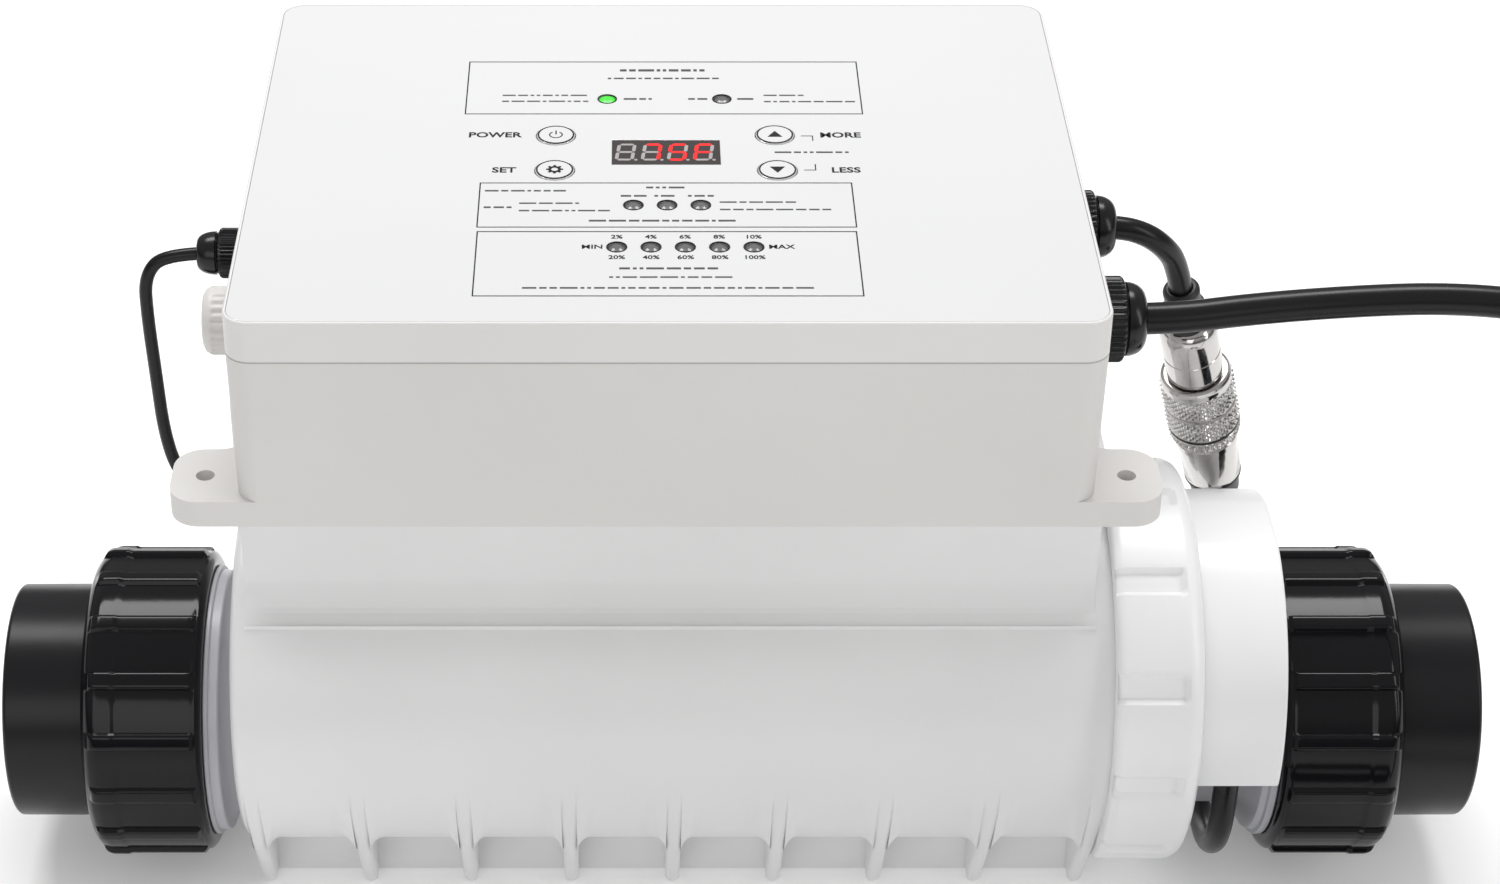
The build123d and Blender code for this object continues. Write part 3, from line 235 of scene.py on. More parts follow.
HOUSING = plastic("housing_plastic", (0.775, 0.775, 0.775), 0.38, 700.0, 0.000012, 0.02)
BOX = plastic("box_plastic", (0.66, 0.645, 0.625), 0.50, 1500.0, 0.000016, 0.02)
LID = plastic("lid_plastic", (0.71, 0.70, 0.685), 0.42, 1500.0, 0.000012, 0.02)
SEAM_SHADE = plastic("seam_shade", (0.42, 0.41, 0.395), 0.6, 1500.0, 0.000004, 0.02)
WHITE = plastic("white_plastic", (0.86, 0.86, 0.865), 0.30, 700.0, 0.000010, 0.02)
FLANGE = plastic("flange_plastic", (0.50, 0.50, 0.53), 0.35, 700.0, 0.000010, 0.03)
NUT = plastic("black_nut", (0.0045, 0.0043, 0.0054), 0.12, 260.0, 0.000012, 0.12, gloss_level=0.24)
PIPE = plastic("dark_pvc", (0.0075, 0.0072, 0.0086), 0.30, 420.0, 0.000012, 0.10, gloss_level=0.24)
GLAND = plastic("gland_nylon", (0.0065, 0.0065, 0.0075), 0.22, 900.0, 0.000008, 0.10, gloss_level=0.34)
SEAL = plastic("rubber_seal", (0.018, 0.018, 0.018), 0.65, 600.0, 0.00002, 0.12)
FILM = plastic("panel_film", (0.665, 0.665, 0.668), 0.10, 2500.0, 0.0000015, 0.008, coat=0.5)
DISPLAY = plastic("display_parts", (0.030, 0.022, 0.022), 0.35, 1200.0, 0.000006, 0.10)
GREY_LED = plastic("grey_led", (0.105, 0.105, 0.105), 0.22, 1200.0, 0.000004, 0.10, coat=0.5)
GREEN_LED = glow("green_led", (0.06, 0.72, 0.05), 0.45)
INK = plastic("panel_ink", (0.010, 0.010, 0.012), 0.35, 2500.0, 0.000001, 0.05, gloss_level=0.3)
SMALL_INK = plastic("small_print_ink", (0.070, 0.070, 0.075), 0.35, 2500.0, 0.000001, 0.05,
                    gloss_level=0.3)
SEGMENT_ON = glow("segment_on", (0.95, 0.012, 0.012), 0.85)
SEGMENT_OFF = plastic("segment_off", (0.34, 0.32, 0.32), 0.4, 1800.0, 0.000002, 0.05)
CASES = plastic("electronics", (0.03, 0.03, 0.034), 0.42, 900.0, 0.00001, 0.15)
CARRIER = plastic("clear_plastic", (0.62, 0.65, 0.66), 0.35, 600.0, 0.00001, 0.04)
SWITCH = plastic("switch_plastic", (0.04, 0.04, 0.045), 0.40, 900.0, 0.00001, 0.10)
JACKET = plastic("cord_jacket", (0.0070, 0.0068, 0.0078), 0.28, 900.0, 0.000012, 0.12, gloss_level=0.28)
BOOT = plastic("connector_rubber", (0.014, 0.014, 0.015), 0.46, 700.0, 0.000012, 0.12)
CHROME = metal("nickel_plate", (0.56, 0.545, 0.53), 0.12)
STEEL = metal("steel_screw", (0.66, 0.66, 0.67), 0.28, (60.0, 60.0, 6.0), 0.000006)
ALUMINIUM = metal("aluminium", (0.72, 0.73, 0.75), 0.34, (60.0, 4.0, 60.0), 0.000008)
TITANIUM = metal("titanium", (0.30, 0.30, 0.31), 0.42, (4.0, 60.0, 60.0), 0.00001)
BOARD = board_material()
COPPER = winding_material()
SMOKED = smoked_material()

NODE_LOOKS = {
    HOUSING: ("cell_housing", "box_saddle"),
    BOX: ("box_base",),
    LID: ("box_lid",),
    WHITE: ("head_cover", "collar_nut"),
    FLANGE: ("cell_head",),
    GLAND: ("gland_bodies", "gland_locknuts", "mains_gland_nut", "output_gland_nut", "sensor_gland_nut",
            "fuse_cap", "fuse_holder"),
    NUT: ("left_union_nut", "right_union_nut"),
    PIPE: ("left_tailpiece", "right_tailpiece"),
    SEAL: ("left_union_oring", "right_union_oring", "head_oring", "lid_gasket", "gland_seals"),
    FILM: ("panel_overlay", "power_button", "set_button", "more_button", "less_button"),
    DISPLAY: ("display_module",),
    SMOKED: ("display_window",),
    GREEN_LED: ("good_led",),
    GREY_LED: ("indicator_leds",),
    BOARD: ("main_board", "display_board"),
    CASES: ("capacitors", "relays", "tact_switches", "transformer_core", "fuse"),
    COPPER: ("transformer_windings",),
    ALUMINIUM: ("heat_sink",),
    TITANIUM: ("electrode_plates", "terminal_rods"),
    CARRIER: ("plate_carrier",),
    STEEL: ("board_screws", "lid_screws", "saddle_screws"),
    CHROME: ("coupling_ring", "connector_plug"),
    JACKET: ("mains_cord", "mains_coil", "output_cord", "cell_cord", "sensor_cord", "mains_plug"),
    BOOT: ("connector_socket",),
    SWITCH: ("flow_switch", "flow_paddle"),
}
for look, names in NODE_LOOKS.items():
    for node_name in names:
        NODES[node_name].data.materials.clear()
        NODES[node_name].data.materials.append(look)


# ------------------------ mesh helpers
def add_piece(name, mesh, material, body, sharp=32.0):
    """Link a mesh as a named piece that rides on a body, smooth but for its sharp edges."""
    mesh.materials.clear()
    mesh.materials.append(material)
    for face in mesh.polygons:
        face.use_smooth = True
    mesh.set_sharp_from_angle(angle=radians(sharp))
    piece = bpy.data.objects.new(name, mesh)
    SCENE.collection.objects.link(piece)
    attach(piece, body)
    return piece


def build(name, points, faces, material, body, sharp=32.0):
    """A piece from points in millimetres, with its faces turned outwards."""
    mesh = bpy.data.meshes.new(name)
    mesh.from_pydata([Vector(p) * MM for p in points], [], faces)
    shape = bmesh.new()
    shape.from_mesh(mesh)
    bmesh.ops.recalc_face_normals(shape, faces=shape.faces)
    shape.to_mesh(mesh)
    shape.free()
    return add_piece(name, mesh, material, body, sharp)


def join_rings(first, second, count):
    """The quads between two rings of points, each ring given by its first point."""
    return [(first + k, first + (k + 1) % count, second + (k + 1) % count, second + k) for k in range(count)]


def rounded(outline, radius, steps=3):
    """Round the corners of a closed outline with small curves, each within its two sides."""
    corners = [Vector(p) for p in outline]
    result = []
    for i, here in enumerate(corners):
        to_before = corners[i - 1] - here
        to_after = corners[(i + 1) % len(corners)] - here
        cut = min(radius, 0.45 * to_before.length, 0.45 * to_after.length)
        start = here + to_before.normalized() * cut
        end = here + to_after.normalized() * cut
        for k in range(steps + 1):
            t = k / steps
            result.append(start * (1 - t) ** 2 + here * 2 * t * (1 - t) + end * t ** 2)
    return result


def axes_for(direction):
    """Unit vectors along a line and across it: along, side, up."""
    along = Vector(direction).normalized()
    side = Vector((0.0, 1.0, 0.0)) if abs(along.y) < 0.9 else Vector((0.0, 0.0, 1.0))
    side = (side - along * side.dot(along)).normalized()
    return along, side, along.cross(side)


def lathe(name, outline, origin, direction, material, body, turns=128, bump=None):
    """Turn a closed outline of (distance, radius) about a line.

    bump(distance, radius, angle) gives what is added to the radius.
    """
    along, side, up = axes_for(direction)
    origin = Vector(origin)
    points, faces = [], []
    count = len(outline)
    for s, r in outline:
        for k in range(turns):
            angle = 2 * pi * k / turns
            radius = r + (bump(s, r, angle) if bump else 0.0)
            points.append(origin + along * s + (side * cos(angle) + up * sin(angle)) * radius)
    for i in range(count):
        faces += join_rings(i * turns, (i + 1) % count * turns, turns)
    return build(name, points, faces, material, body)


def smooth_step(t):
    """0 below 0, 1 above 1, and a smooth rise between."""
    t = min(1.0, max(0.0, t))
    return t * t * (3.0 - 2.0 * t)


def steps_between(outline, pitch):
    """Add points along the long sides of an outline, so that relief has something to act on."""
    dense = []
    for i, here in enumerate(outline):
        after = outline[(i + 1) % len(outline)]
        here, after = Vector(here), Vector(after)
        pieces = max(1, int((after - here).length / pitch))
        dense += [here.lerp(after, k / pieces) for k in range(pieces)]
    return dense


def softened(node, width, material, body, segments=3):
    """A copy of a CAD node's shape with its edges broken, standing for the node."""
    mesh = NODES[node].data.copy()
    mesh.name = node + "_soft"
    shape = bmesh.new()
    shape.from_mesh(mesh)
    bmesh.ops.remove_doubles(shape, verts=shape.verts, dist=0.000002)
    bmesh.ops.dissolve_limit(shape, angle_limit=radians(0.6), verts=shape.verts, edges=shape.edges)
    shape.to_mesh(mesh)
    shape.free()
    piece = add_piece(node + "_finish", mesh, material, body, 30.0)
    bevel = piece.modifiers.new("edges", "BEVEL")
    bevel.width = width * MM
    bevel.segments = segments
    bevel.limit_method = "ANGLE"
    bevel.angle_limit = radians(38.0)
    bevel.harden_normals = False
    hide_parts(node)
    return piece


# ------------------------ cords
COIL_AT = Vector((229.5, -203.0, 0.0))
TURN_OUT_R, TURN_IN_R = 58.5, 40.5
TURNS_IN, TURNS_ALL = 2.0, 3.5
STUB = 36.0
COIL_IN = COIL_AT + Vector((TURN_OUT_R, STUB, MAINS_D / 2))
COIL_OUT = COIL_AT + Vector((-TURN_OUT_R, STUB, MAINS_D / 2))


def coil_points(per_turn=16):
    """Two turns spiralling in on the floor, then one and a half spiralling out on top of them, and down."""
    points = []
    for k in range(int(TURNS_ALL * per_turn) + 1):
        turns = k / per_turn
        if turns <= TURNS_IN:
            radius = TURN_OUT_R - MAINS_D * turns
        else:
            wider = turns - TURNS_IN
            radius = TURN_IN_R + MAINS_D * wider + MAINS_D * max(0.0, wider - 1.0)
        climb = min(1.0, max(0.0, (turns - TURNS_IN + 0.25) / 0.5))
        height = MAINS_D / 2 + MAINS_D * climb
        angle = -2 * pi * turns
        points.append(COIL_AT + Vector((radius * cos(angle), radius * sin(angle), height)))
    points.append(COIL_AT + Vector((-TURN_OUT_R, 13.0, 11.0)))
    points.append(COIL_AT + Vector((-TURN_OUT_R, 25.0, 6.0)))
    return points


MAINS_ROUTE = [
    (121.65, MAINS_Y, RIGHT_LEAD_Z),
    (138.0, MAINS_Y, RIGHT_LEAD_Z),
    (160.0, MAINS_Y, 207.2),
    (187.0, -23.2, 209.8),
    (213.0, -23.2, 210.9),
    (238.0, -24.6, 209.4),
    (259.0, -30.0, 202.0),
    (275.0, -39.5, 188.0),
    (282.0, -51.0, 168.0),
    (286.4, -63.0, 144.0),
    (288.2, -74.0, 118.0),
    (288.8, -84.0, 92.0),
    (288.8, -93.4, 67.0),
    (288.5, -103.0, 46.0),
    (288.3, -111.8, 28.4),
    (288.1, -123.6, 15.8),
    (288.0, -138.0, 7.4),
    (288.0, -152.5, 4.5),
    tuple(COIL_IN),
]
OUTPUT_ROUTE = [
    (121.65, OUTPUT_Y, RIGHT_LEAD_Z),
    (129.8, OUTPUT_Y, RIGHT_LEAD_Z),
    (137.6, 28.6, 201.2),
    (143.7, 30.8, 195.8),
    tuple(BOOT_TOP - HANG * 11.0),
    tuple(BOOT_TOP),
]
CELL_ROUTE = [
    tuple(SOCKET_TIP),
    tuple(SOCKET_TIP + HANG * 15.0),
    (180.4, 68.6, 54.0),
    (178.6, 64.0, 36.6),
    (175.0, 51.6, 22.4),
    (171.2, 34.0, 12.8),
    (168.6, 12.0, 9.0),
    (167.2, -10.0, 9.6),
    (166.0, -28.0, 16.4),
    (165.2, -41.0, 28.2),
    (164.7, -47.2, 43.5),
    (164.7, -47.2, 58.0),
]
SENSOR_ROUTE = [
    (-128.85, SENSOR_Y, LEFT_Z),
    (-144.4, SENSOR_Y, LEFT_Z),
    (-151.0, -2.2, 205.6),
    (-151.2, -2.4, 192.0),
    (-150.4, -2.2, 171.0),
    (-149.8, -1.6, 152.0),
    (-147.2, -1.4, 138.0),
    (-140.4, -1.8, 129.6),
    (-130.0, -2.0, 128.0),
    (-118.0, -2.0, 128.0),
]


def make_cord(name, route, diameter, material, body):
    """A round cord along a smooth line whose control points are the route's."""
    curve = bpy.data.curves.new(name, "CURVE")
    curve.dimensions = "3D"
    curve.bevel_depth = diameter / 2 * MM
    curve.bevel_resolution = 8
    curve.use_fill_caps = True
    spline = curve.splines.new("NURBS")
    spline.points.add(len(route) - 1)
    for point, place in zip(spline.points, route):
        point.co = (*(Vector(place) * MM), 1.0)
    spline.order_u = 3
    spline.use_endpoint_u = True
    spline.resolution_u = 8
    curve.materials.append(material)
    cord = bpy.data.objects.new(name, curve)
    SCENE.collection.objects.link(cord)
    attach(cord, body)
    return cord


mains_lead = make_cord("mains_lead", MAINS_ROUTE + [tuple(p) for p in coil_points()] + [tuple(COIL_OUT)],
                       MAINS_D, JACKET, "unit")
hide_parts("mains_cord", "mains_coil")
output_lead = make_cord("output_lead", OUTPUT_ROUTE, OUTPUT_D, JACKET, "unit")
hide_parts("output_cord")
cell_lead = make_cord("cell_lead", CELL_ROUTE[::-1], CELL_D, JACKET, "cartridge")
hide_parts("cell_cord")
sensor_lead = make_cord("sensor_lead", SENSOR_ROUTE, SENSOR_D, JACKET, "unit")
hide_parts("sensor_cord")


# ------------------------ box, lid, saddle and covers
softened("box_base", 0.8, BOX, "unit")
softened("box_lid", 0.7, LID, "unit")
softened("panel_overlay", 0.22, FILM, "unit", segments=2)
softened("box_saddle", 0.9, HOUSING, "unit")
softened("head_cover", 1.6, WHITE, "cartridge")
softened("cell_head", 0.35, FLANGE, "cartridge", segments=2)
plug_soft = softened("mains_plug", 0.8, JACKET, "unit")

SEAM_LINE_Z, SEAM_LINE_H, BOX_CORNER = 232.7, 0.42, 7.0
SEAM_LINE_OUT, SEAM_LINE_IN = 0.06, -0.6


def box_ring(proud, z):
    """The box's outline at the lid's joint, as a ring of points that stands proud of it."""
    middle_x, middle_y = BOX_W / 2 - BOX_CORNER, BOX_D / 2 - BOX_CORNER
    radius = BOX_CORNER + proud
    ring = []
    for corner, (x_side, y_side) in enumerate(((1, 1), (-1, 1), (-1, -1), (1, -1))):
        for k in range(9):
            angle = pi / 2 * (corner + k / 8)
            ring.append((BOX_X + x_side * middle_x + radius * cos(angle),
                         y_side * middle_y + radius * sin(angle), z))
    return ring


def lid_seam():
    """The shaded line where the lid meets the base, a hair proud of their walls."""
    low, high = SEAM_LINE_Z - SEAM_LINE_H / 2, SEAM_LINE_Z + SEAM_LINE_H / 2
    rings = [box_ring(SEAM_LINE_OUT, low), box_ring(SEAM_LINE_OUT, high),
             box_ring(SEAM_LINE_IN, high), box_ring(SEAM_LINE_IN, low)]
    count = len(rings[0])
    faces = []
    for i in range(4):
        faces += join_rings(i * count, (i + 1) % 4 * count, count)
    build("lid_seam_line", [point for ring in rings for point in ring], faces, SEAM_SHADE, "unit")


lid_seam()


# ------------------------ the cell's housing with its foot fins
FIN_PITCH, FIN_COUNT, FIN_THICK = 31.4, 9, 4.4
FIN_EDGE = [(28.0, 0.0), (46.0, 30.0), (53.6, 50.0), (54.9, 63.0)]
FIN_XS = [FIN_PITCH * (i - (FIN_COUNT - 1) / 2) for i in range(FIN_COUNT)]
FILLET, FILLET_BELOW = 7.0, 1.2
END_X, END_ROUND_X, END_ROUND_R = -130.6, 2.7, 6.5
INNER_FACE, MOUTH_X = -124.1, 145.5
THREAD_X, THREAD_PITCH, THREAD_DEPTH, THREAD_TURNS = 131.0, 2.6, 0.9, 5
SHELL_TURNS = 240


def fin_reach(angle):
    """How far a fin stands out of the shell at an angle from straight down, by crossing its edge lines."""
    y_dir, z_dir = sin(angle), -cos(angle)
    edges = [(-FIN_EDGE[0][0], 0.0)] + FIN_EDGE
    best = 0.0
    for (y1, z1), (y2, z2) in zip(edges, edges[1:]):
        dy, dz = y2 - y1, z2 - z1
        across = y_dir * dz - z_dir * dy
        if abs(across) < 1e-9:
            continue
        reach = (y1 * dz - (z1 - CELL_Z) * dy) / across
        if abs(dy) > abs(dz):
            t = (reach * y_dir - y1) / dy
        else:
            t = (CELL_Z + reach * z_dir - z1) / dz
        if reach > 0 and -0.001 <= t <= 1.001:
            best = max(best, reach - SHELL_R)
    return max(0.0, best)


def shell_stations():
    """Places along the shell as (x, radius, distance from the nearest fin's middle, or None)."""
    half = FIN_THICK / 2
    stations = []
    for k in range(9):
        turn = pi / 2 * k / 8
        x = END_X + END_ROUND_X * (1 - cos(turn))
        stations.append((x, SHELL_R - END_ROUND_R * (1 - sin(turn)), None))
    offsets = [-half - FILLET * (1 - k / 9.0) ** 1.6 for k in range(9)]
    offsets += [-half - 0.05, -half, -half * 0.86, -half * 0.5, 0.0]
    offsets += [half * 0.5, half * 0.86, half, half + 0.05]
    offsets += [half + FILLET * (k / 9.0) ** 1.6 for k in range(1, 10)]
    for fin_x in FIN_XS:
        for offset in offsets:
            if END_X + END_ROUND_X < fin_x + offset < THREAD_X - 0.4:
                stations.append((fin_x + offset, SHELL_R, offset))
    stations.sort(key=lambda station: station[0])
    low, high = SHELL_R - THREAD_DEPTH, SHELL_R - 0.1
    for k in range(THREAD_TURNS):
        x = THREAD_X + THREAD_PITCH * k
        stations += [(x, low, None), (x + 0.9, high, None), (x + 1.5, high, None), (x + 2.3, low, None)]
    return stations + [(MOUTH_X - 0.9, low, None), (MOUTH_X, SHELL_R - 1.6, None)]


def fin_relief(offset, height, fillet):
    """What a fin adds to the radius: a rounded tip over its thickness, and a filleted foot beside it."""
    half = FIN_THICK / 2
    away = abs(offset) - half
    if away <= 0.0:
        inward = (abs(offset) / half) ** 2
        return height - min(height * 0.6, half) * (1 - sqrt(max(0.0, 1 - inward * 0.96)))
    if away < fillet:
        curve = fillet - sqrt(max(0.0, fillet ** 2 - (fillet - away) ** 2))
        return min(height * 0.92, curve)
    return 0.0


def shell_ring(x, radius, z=CELL_Z):
    """A plain ring of points about the pipe's direction, from straight down."""
    angles = [2 * pi * k / SHELL_TURNS for k in range(SHELL_TURNS)]
    return [(x, radius * sin(angle), z - radius * cos(angle)) for angle in angles]


def build_housing():
    """Shell, fins with rounded tips and filleted feet, rounded left end with its water passage, and open
    bore.
    """
    turns = SHELL_TURNS
    from_down = [abs(asin(sin(2 * pi * k / turns))) for k in range(turns)]
    heights = [fin_reach(angle) for angle in from_down]
    fillets = [FILLET_BELOW + (FILLET - FILLET_BELOW) * smooth_step((angle - 0.50) / 0.55)
               for angle in from_down]
    points, faces = [], []
    stations = shell_stations()
    for x, radius, offset in stations:
        for k in range(turns):
            angle = 2 * pi * k / turns
            finned = offset is not None and heights[k] > 0.0 and cos(angle) > 0.08
            total = radius + (fin_relief(offset, heights[k], fillets[k]) if finned else 0.0)
            points.append((x, total * sin(angle), CELL_Z - total * cos(angle)))
    for x, radius in ((MOUTH_X, BORE_R + 0.8), (MOUTH_X - 0.6, BORE_R), (INNER_FACE, BORE_R)):
        points += shell_ring(x, radius)
    last = len(stations) + 2
    for i in range(last):
        faces += join_rings(i * turns, (i + 1) * turns, turns)
    passage = []
    for shell_end, x in ((0, END_X), (last * turns, INNER_FACE)):
        passage.append(len(points))
        faces += join_rings(shell_end, len(points), turns)
        points += shell_ring(x, WATER_R, UNION_Z)
    faces += join_rings(passage[0], passage[1], turns)
    housing = build("cell_shell", points, faces, HOUSING, "unit", 40.0)
    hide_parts("cell_housing")


build_housing()

SKIRT_Y, SKIRT_T = 22.0, 2.5


def build_skirts():
    """Two thin walls that tie the fins together below the shell, cut flat a little above their tips."""
    for side_name, side in (("front", -1), ("back", 1)):
        y_out, y_in = side * SKIRT_Y, side * (SKIRT_Y - SKIRT_T)
        top_out = CELL_Z - sqrt((SHELL_R - 1) ** 2 - y_out ** 2)
        section = rounded([(y_out, 0.0), (y_out, top_out), (y_in, top_out - 0.6), (y_in, 0.0)], 0.6)
        count = len(section)
        points = [(x, p.x, p.y) for x in (FIN_XS[0], FIN_XS[-1]) for p in section]
        faces = join_rings(0, count, count) + [tuple(range(count)), tuple(range(count, 2 * count))]
        build(f"{side_name}_skirt", points, faces, HOUSING, "unit")


build_skirts()


def thread_profile(start, end, radius, pitch=2.6, depth=1.0):
    """Ridges of a thread seen from the side, from start to end."""
    out = 1 if end > start else -1
    points = []
    for k in range(int(abs(end - start) / pitch)):
        x = start + out * pitch * k
        points += [(x, radius - depth), (x + out * 0.35 * pitch, radius), (x + out * 0.6 * pitch, radius),
                   (x + out * 0.95 * pitch, radius - depth)]
    return points


left_spigot = [(-124.3, WATER_R), (-164.9, WATER_R), (-164.9, 31.9), (-162.2, 31.9), (-162.2, 34.9),
               (-164.9, 34.9), (-164.9, SPIGOT_R - 1.0)]
left_spigot += thread_profile(-163.5, -142.5, SPIGOT_R - 0.1)
left_spigot += [(-141.4, SPIGOT_R - 0.6), (-140.9, RING_R - 0.3), (-140.6, RING_R), (-139.8, RING_R),
                (-139.5, RING_R - 0.3), (-139.4, RING_R - 1.3), (-136.9, RING_R - 1.5),
                (-136.5, RING_R - 1.9)]
for k in range(1, 9):
    turn = pi / 2 * k / 8
    left_spigot.append((-136.3 + 5.4 * (1 - cos(turn)), RING_R - 2.2 - 6.4 * sin(turn)))
left_spigot.append((-124.3, NECK_R))
lathe("left_spigot", left_spigot, (0, 0, UNION_Z), (1, 0, 0), FLANGE, "unit", 144)


# ------------------------ union nuts and tailpieces
NUT_R, RIB_R, NUT_LENGTH, NUT_RIBS = 46.6, 48.0, 36.5, 16
RIB_HALF, PARTING_STEP = 2.9, 0.35
TAIL_R, FLANGE_R, SOCKET_R = 35.9, 39.7, 30.3


def rib_bump(lip_side, inner_side, parting):
    """Sixteen round-cornered ribs, with a fine step where the mould halves met."""
    low, high = min(lip_side, inner_side), max(lip_side, inner_side)

    def bump(s, r, angle):
        if r < NUT_R - 2.6 or not low < s < high:
            return 0.0
        pitch = 2 * pi / NUT_RIBS
        off = (angle + pitch / 2) % pitch - pitch / 2
        across = RIB_HALF - abs(off) * NUT_R
        ends = min(s - low, high - s)
        edge = min(across, ends * 0.55)
        rise = smooth_step(edge / 0.9) * (RIB_R - NUT_R)
        from_lip = s - low if lip_side == low else high - s
        valley = -PARTING_STEP if from_lip > parting else 0.0
        return rise + valley * smooth_step((NUT_R - r + 0.4) / 0.4 if r < NUT_R else 1.0)
    return bump


def union_nut(name, node, body, face, end):
    """Glossy union nut with a rounded nose, ribs and the lip that holds the tailpiece."""
    out = 1 if end > face else -1
    lip = face + out * 8.5
    outer = lip + out * 4.0
    inner = outer - out * NUT_LENGTH
    outline = [(inner, SPIGOT_R + 0.5), (lip, SPIGOT_R + 0.5), (lip, TAIL_R + 0.3),
               (outer - out * 0.4, TAIL_R + 0.3),
               (outer, TAIL_R + 0.8), (outer, NUT_R - 5.4), (outer - out * 0.9, NUT_R - 2.9),
               (outer - out * 2.6, NUT_R - 0.9), (outer - out * 5.0, NUT_R), (inner + out * 2.4, NUT_R),
               (inner + out * 0.9, NUT_R - 0.9), (inner, NUT_R - 2.6)]
    dense = steps_between(rounded(outline, 0.9, 3), 0.8)
    bump = rib_bump(outer - out * 2.0, inner + out * 1.8, 8.5)
    nut = lathe(name, dense, (0, 0, UNION_Z), (1, 0, 0), NUT, body, 512, bump)
    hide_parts(node)


def tailpiece(name, node, body, face, end):
    """Matt pipe socket with a chamfered mouth and its sealing flange."""
    out = 1 if end > face else -1
    outline = [(face + out * 0.1, WATER_R), (end - out * 35.0, WATER_R), (end - out * 35.0, SOCKET_R),
               (end - out * 1.2, SOCKET_R), (end, SOCKET_R + 0.9), (end, TAIL_R - 1.0),
               (end - out * 0.9, TAIL_R - 0.1),
               (face + out * 8.2, TAIL_R), (face + out * 8.2, FLANGE_R), (face + out * 0.1, FLANGE_R)]
    tail = lathe(name, rounded(outline, 0.5, 3), (0, 0, UNION_Z), (1, 0, 0), PIPE, body, 192)
    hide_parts(node)


union_nut("left_nut_shell", "left_union_nut", "left_nut", LEFT_FACE, LEFT_END)
union_nut("right_nut_shell", "right_union_nut", "right_nut", RIGHT_FACE, RIGHT_END)
tailpiece("left_tail_shell", "left_tailpiece", "unit", LEFT_FACE, LEFT_END)
tailpiece("right_tail_shell", "right_tailpiece", "cartridge", RIGHT_FACE, RIGHT_END)


# ------------------------ collar nut on the cell's mouth
COLLAR_R, COLLAR_LEFT, COLLAR_RIGHT = 61.6, 128.0, 154.0
COLLAR_PADS = 12
VALLEY_MID, VALLEY_HALF, VALLEY_DEEP = radians(31.0), 3.7, 1.9
FLANGE_AT = COLLAR_RIGHT - 4.6


def collar_bump(s, r, angle):
    """Twelve broad pads with scooped valleys between them, closed by the flange at the head's side."""
    if r < COLLAR_R - 3.0 or not COLLAR_LEFT + 0.4 < s < FLANGE_AT:
        return 0.0
    pitch = 2 * pi / COLLAR_PADS
    off = (angle - VALLEY_MID + pitch / 2) % pitch - pitch / 2
    inside = VALLEY_HALF - abs(off) * COLLAR_R
    return -VALLEY_DEEP * smooth_step((inside + 0.9) / 1.8) * smooth_step((FLANGE_AT - s) / 2.2)


collar_outline = [(COLLAR_LEFT, SHELL_R + 0.4), (150.9, SHELL_R + 0.4), (150.9, 48.6), (COLLAR_RIGHT, 48.6),
                  (COLLAR_RIGHT, COLLAR_R - 4.0), (COLLAR_RIGHT - 1.2, COLLAR_R - 1.4),
                  (COLLAR_RIGHT - 4.0, COLLAR_R), (COLLAR_LEFT + 2.4, COLLAR_R),
                  (COLLAR_LEFT + 0.6, COLLAR_R - 0.9), (COLLAR_LEFT, COLLAR_R - 2.6)]
dense_outline = steps_between(rounded(collar_outline, 1.3, 4), 0.8)
collar = lathe("collar_shell", dense_outline, (0, 0, CELL_Z), (1, 0, 0), WHITE, "collar", 480, collar_bump)
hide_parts("collar_nut")


# ------------------------ cord glands and the fuse cap
def flutes(count, depth, low, high):
    """Fine grip ridges between two stations."""
    def bump(s, r, angle):
        if not low < s < high:
            return 0.0
        return depth * (0.5 + 0.5 * cos(count * angle)) * smooth_step(min(s - low, high - s) / 0.3)
    return bump


def gland(name, nut_node, body, origin, direction, reach, flange_r, dome_r, thread_r, cord_r):
    """Dome nut of a cord gland: a fluted grip, a waist and a smooth rounded dome."""
    mouth = cord_r + 0.45
    outline = [(5.3, thread_r - 0.5), (11.6, thread_r - 0.5), (reach - 2.5, mouth), (reach - 0.3, mouth),
               (reach, mouth + 0.3), (reach, mouth + 1.2)]
    for k in range(1, 9):
        turn = pi / 2 * k / 8
        outline.append((reach - 5.4 + 5.4 * cos(turn), mouth + 1.2 + (dome_r - mouth - 1.2) * sin(turn)))
    grip = reach - 6.2
    outline += [(grip + 0.9, dome_r), (grip + 0.6, dome_r - 0.5), (grip + 0.3, dome_r - 0.4),
                (grip, flange_r - 0.9), (grip - 0.3, flange_r - 0.5), (5.7, flange_r - 0.5),
                (5.3, flange_r - 0.9)]
    dense = steps_between(outline, 0.6)
    nut = lathe(name, dense, origin, direction, GLAND, body, 320, flutes(40, 0.5, 5.8, grip - 0.2))
    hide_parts(nut_node)


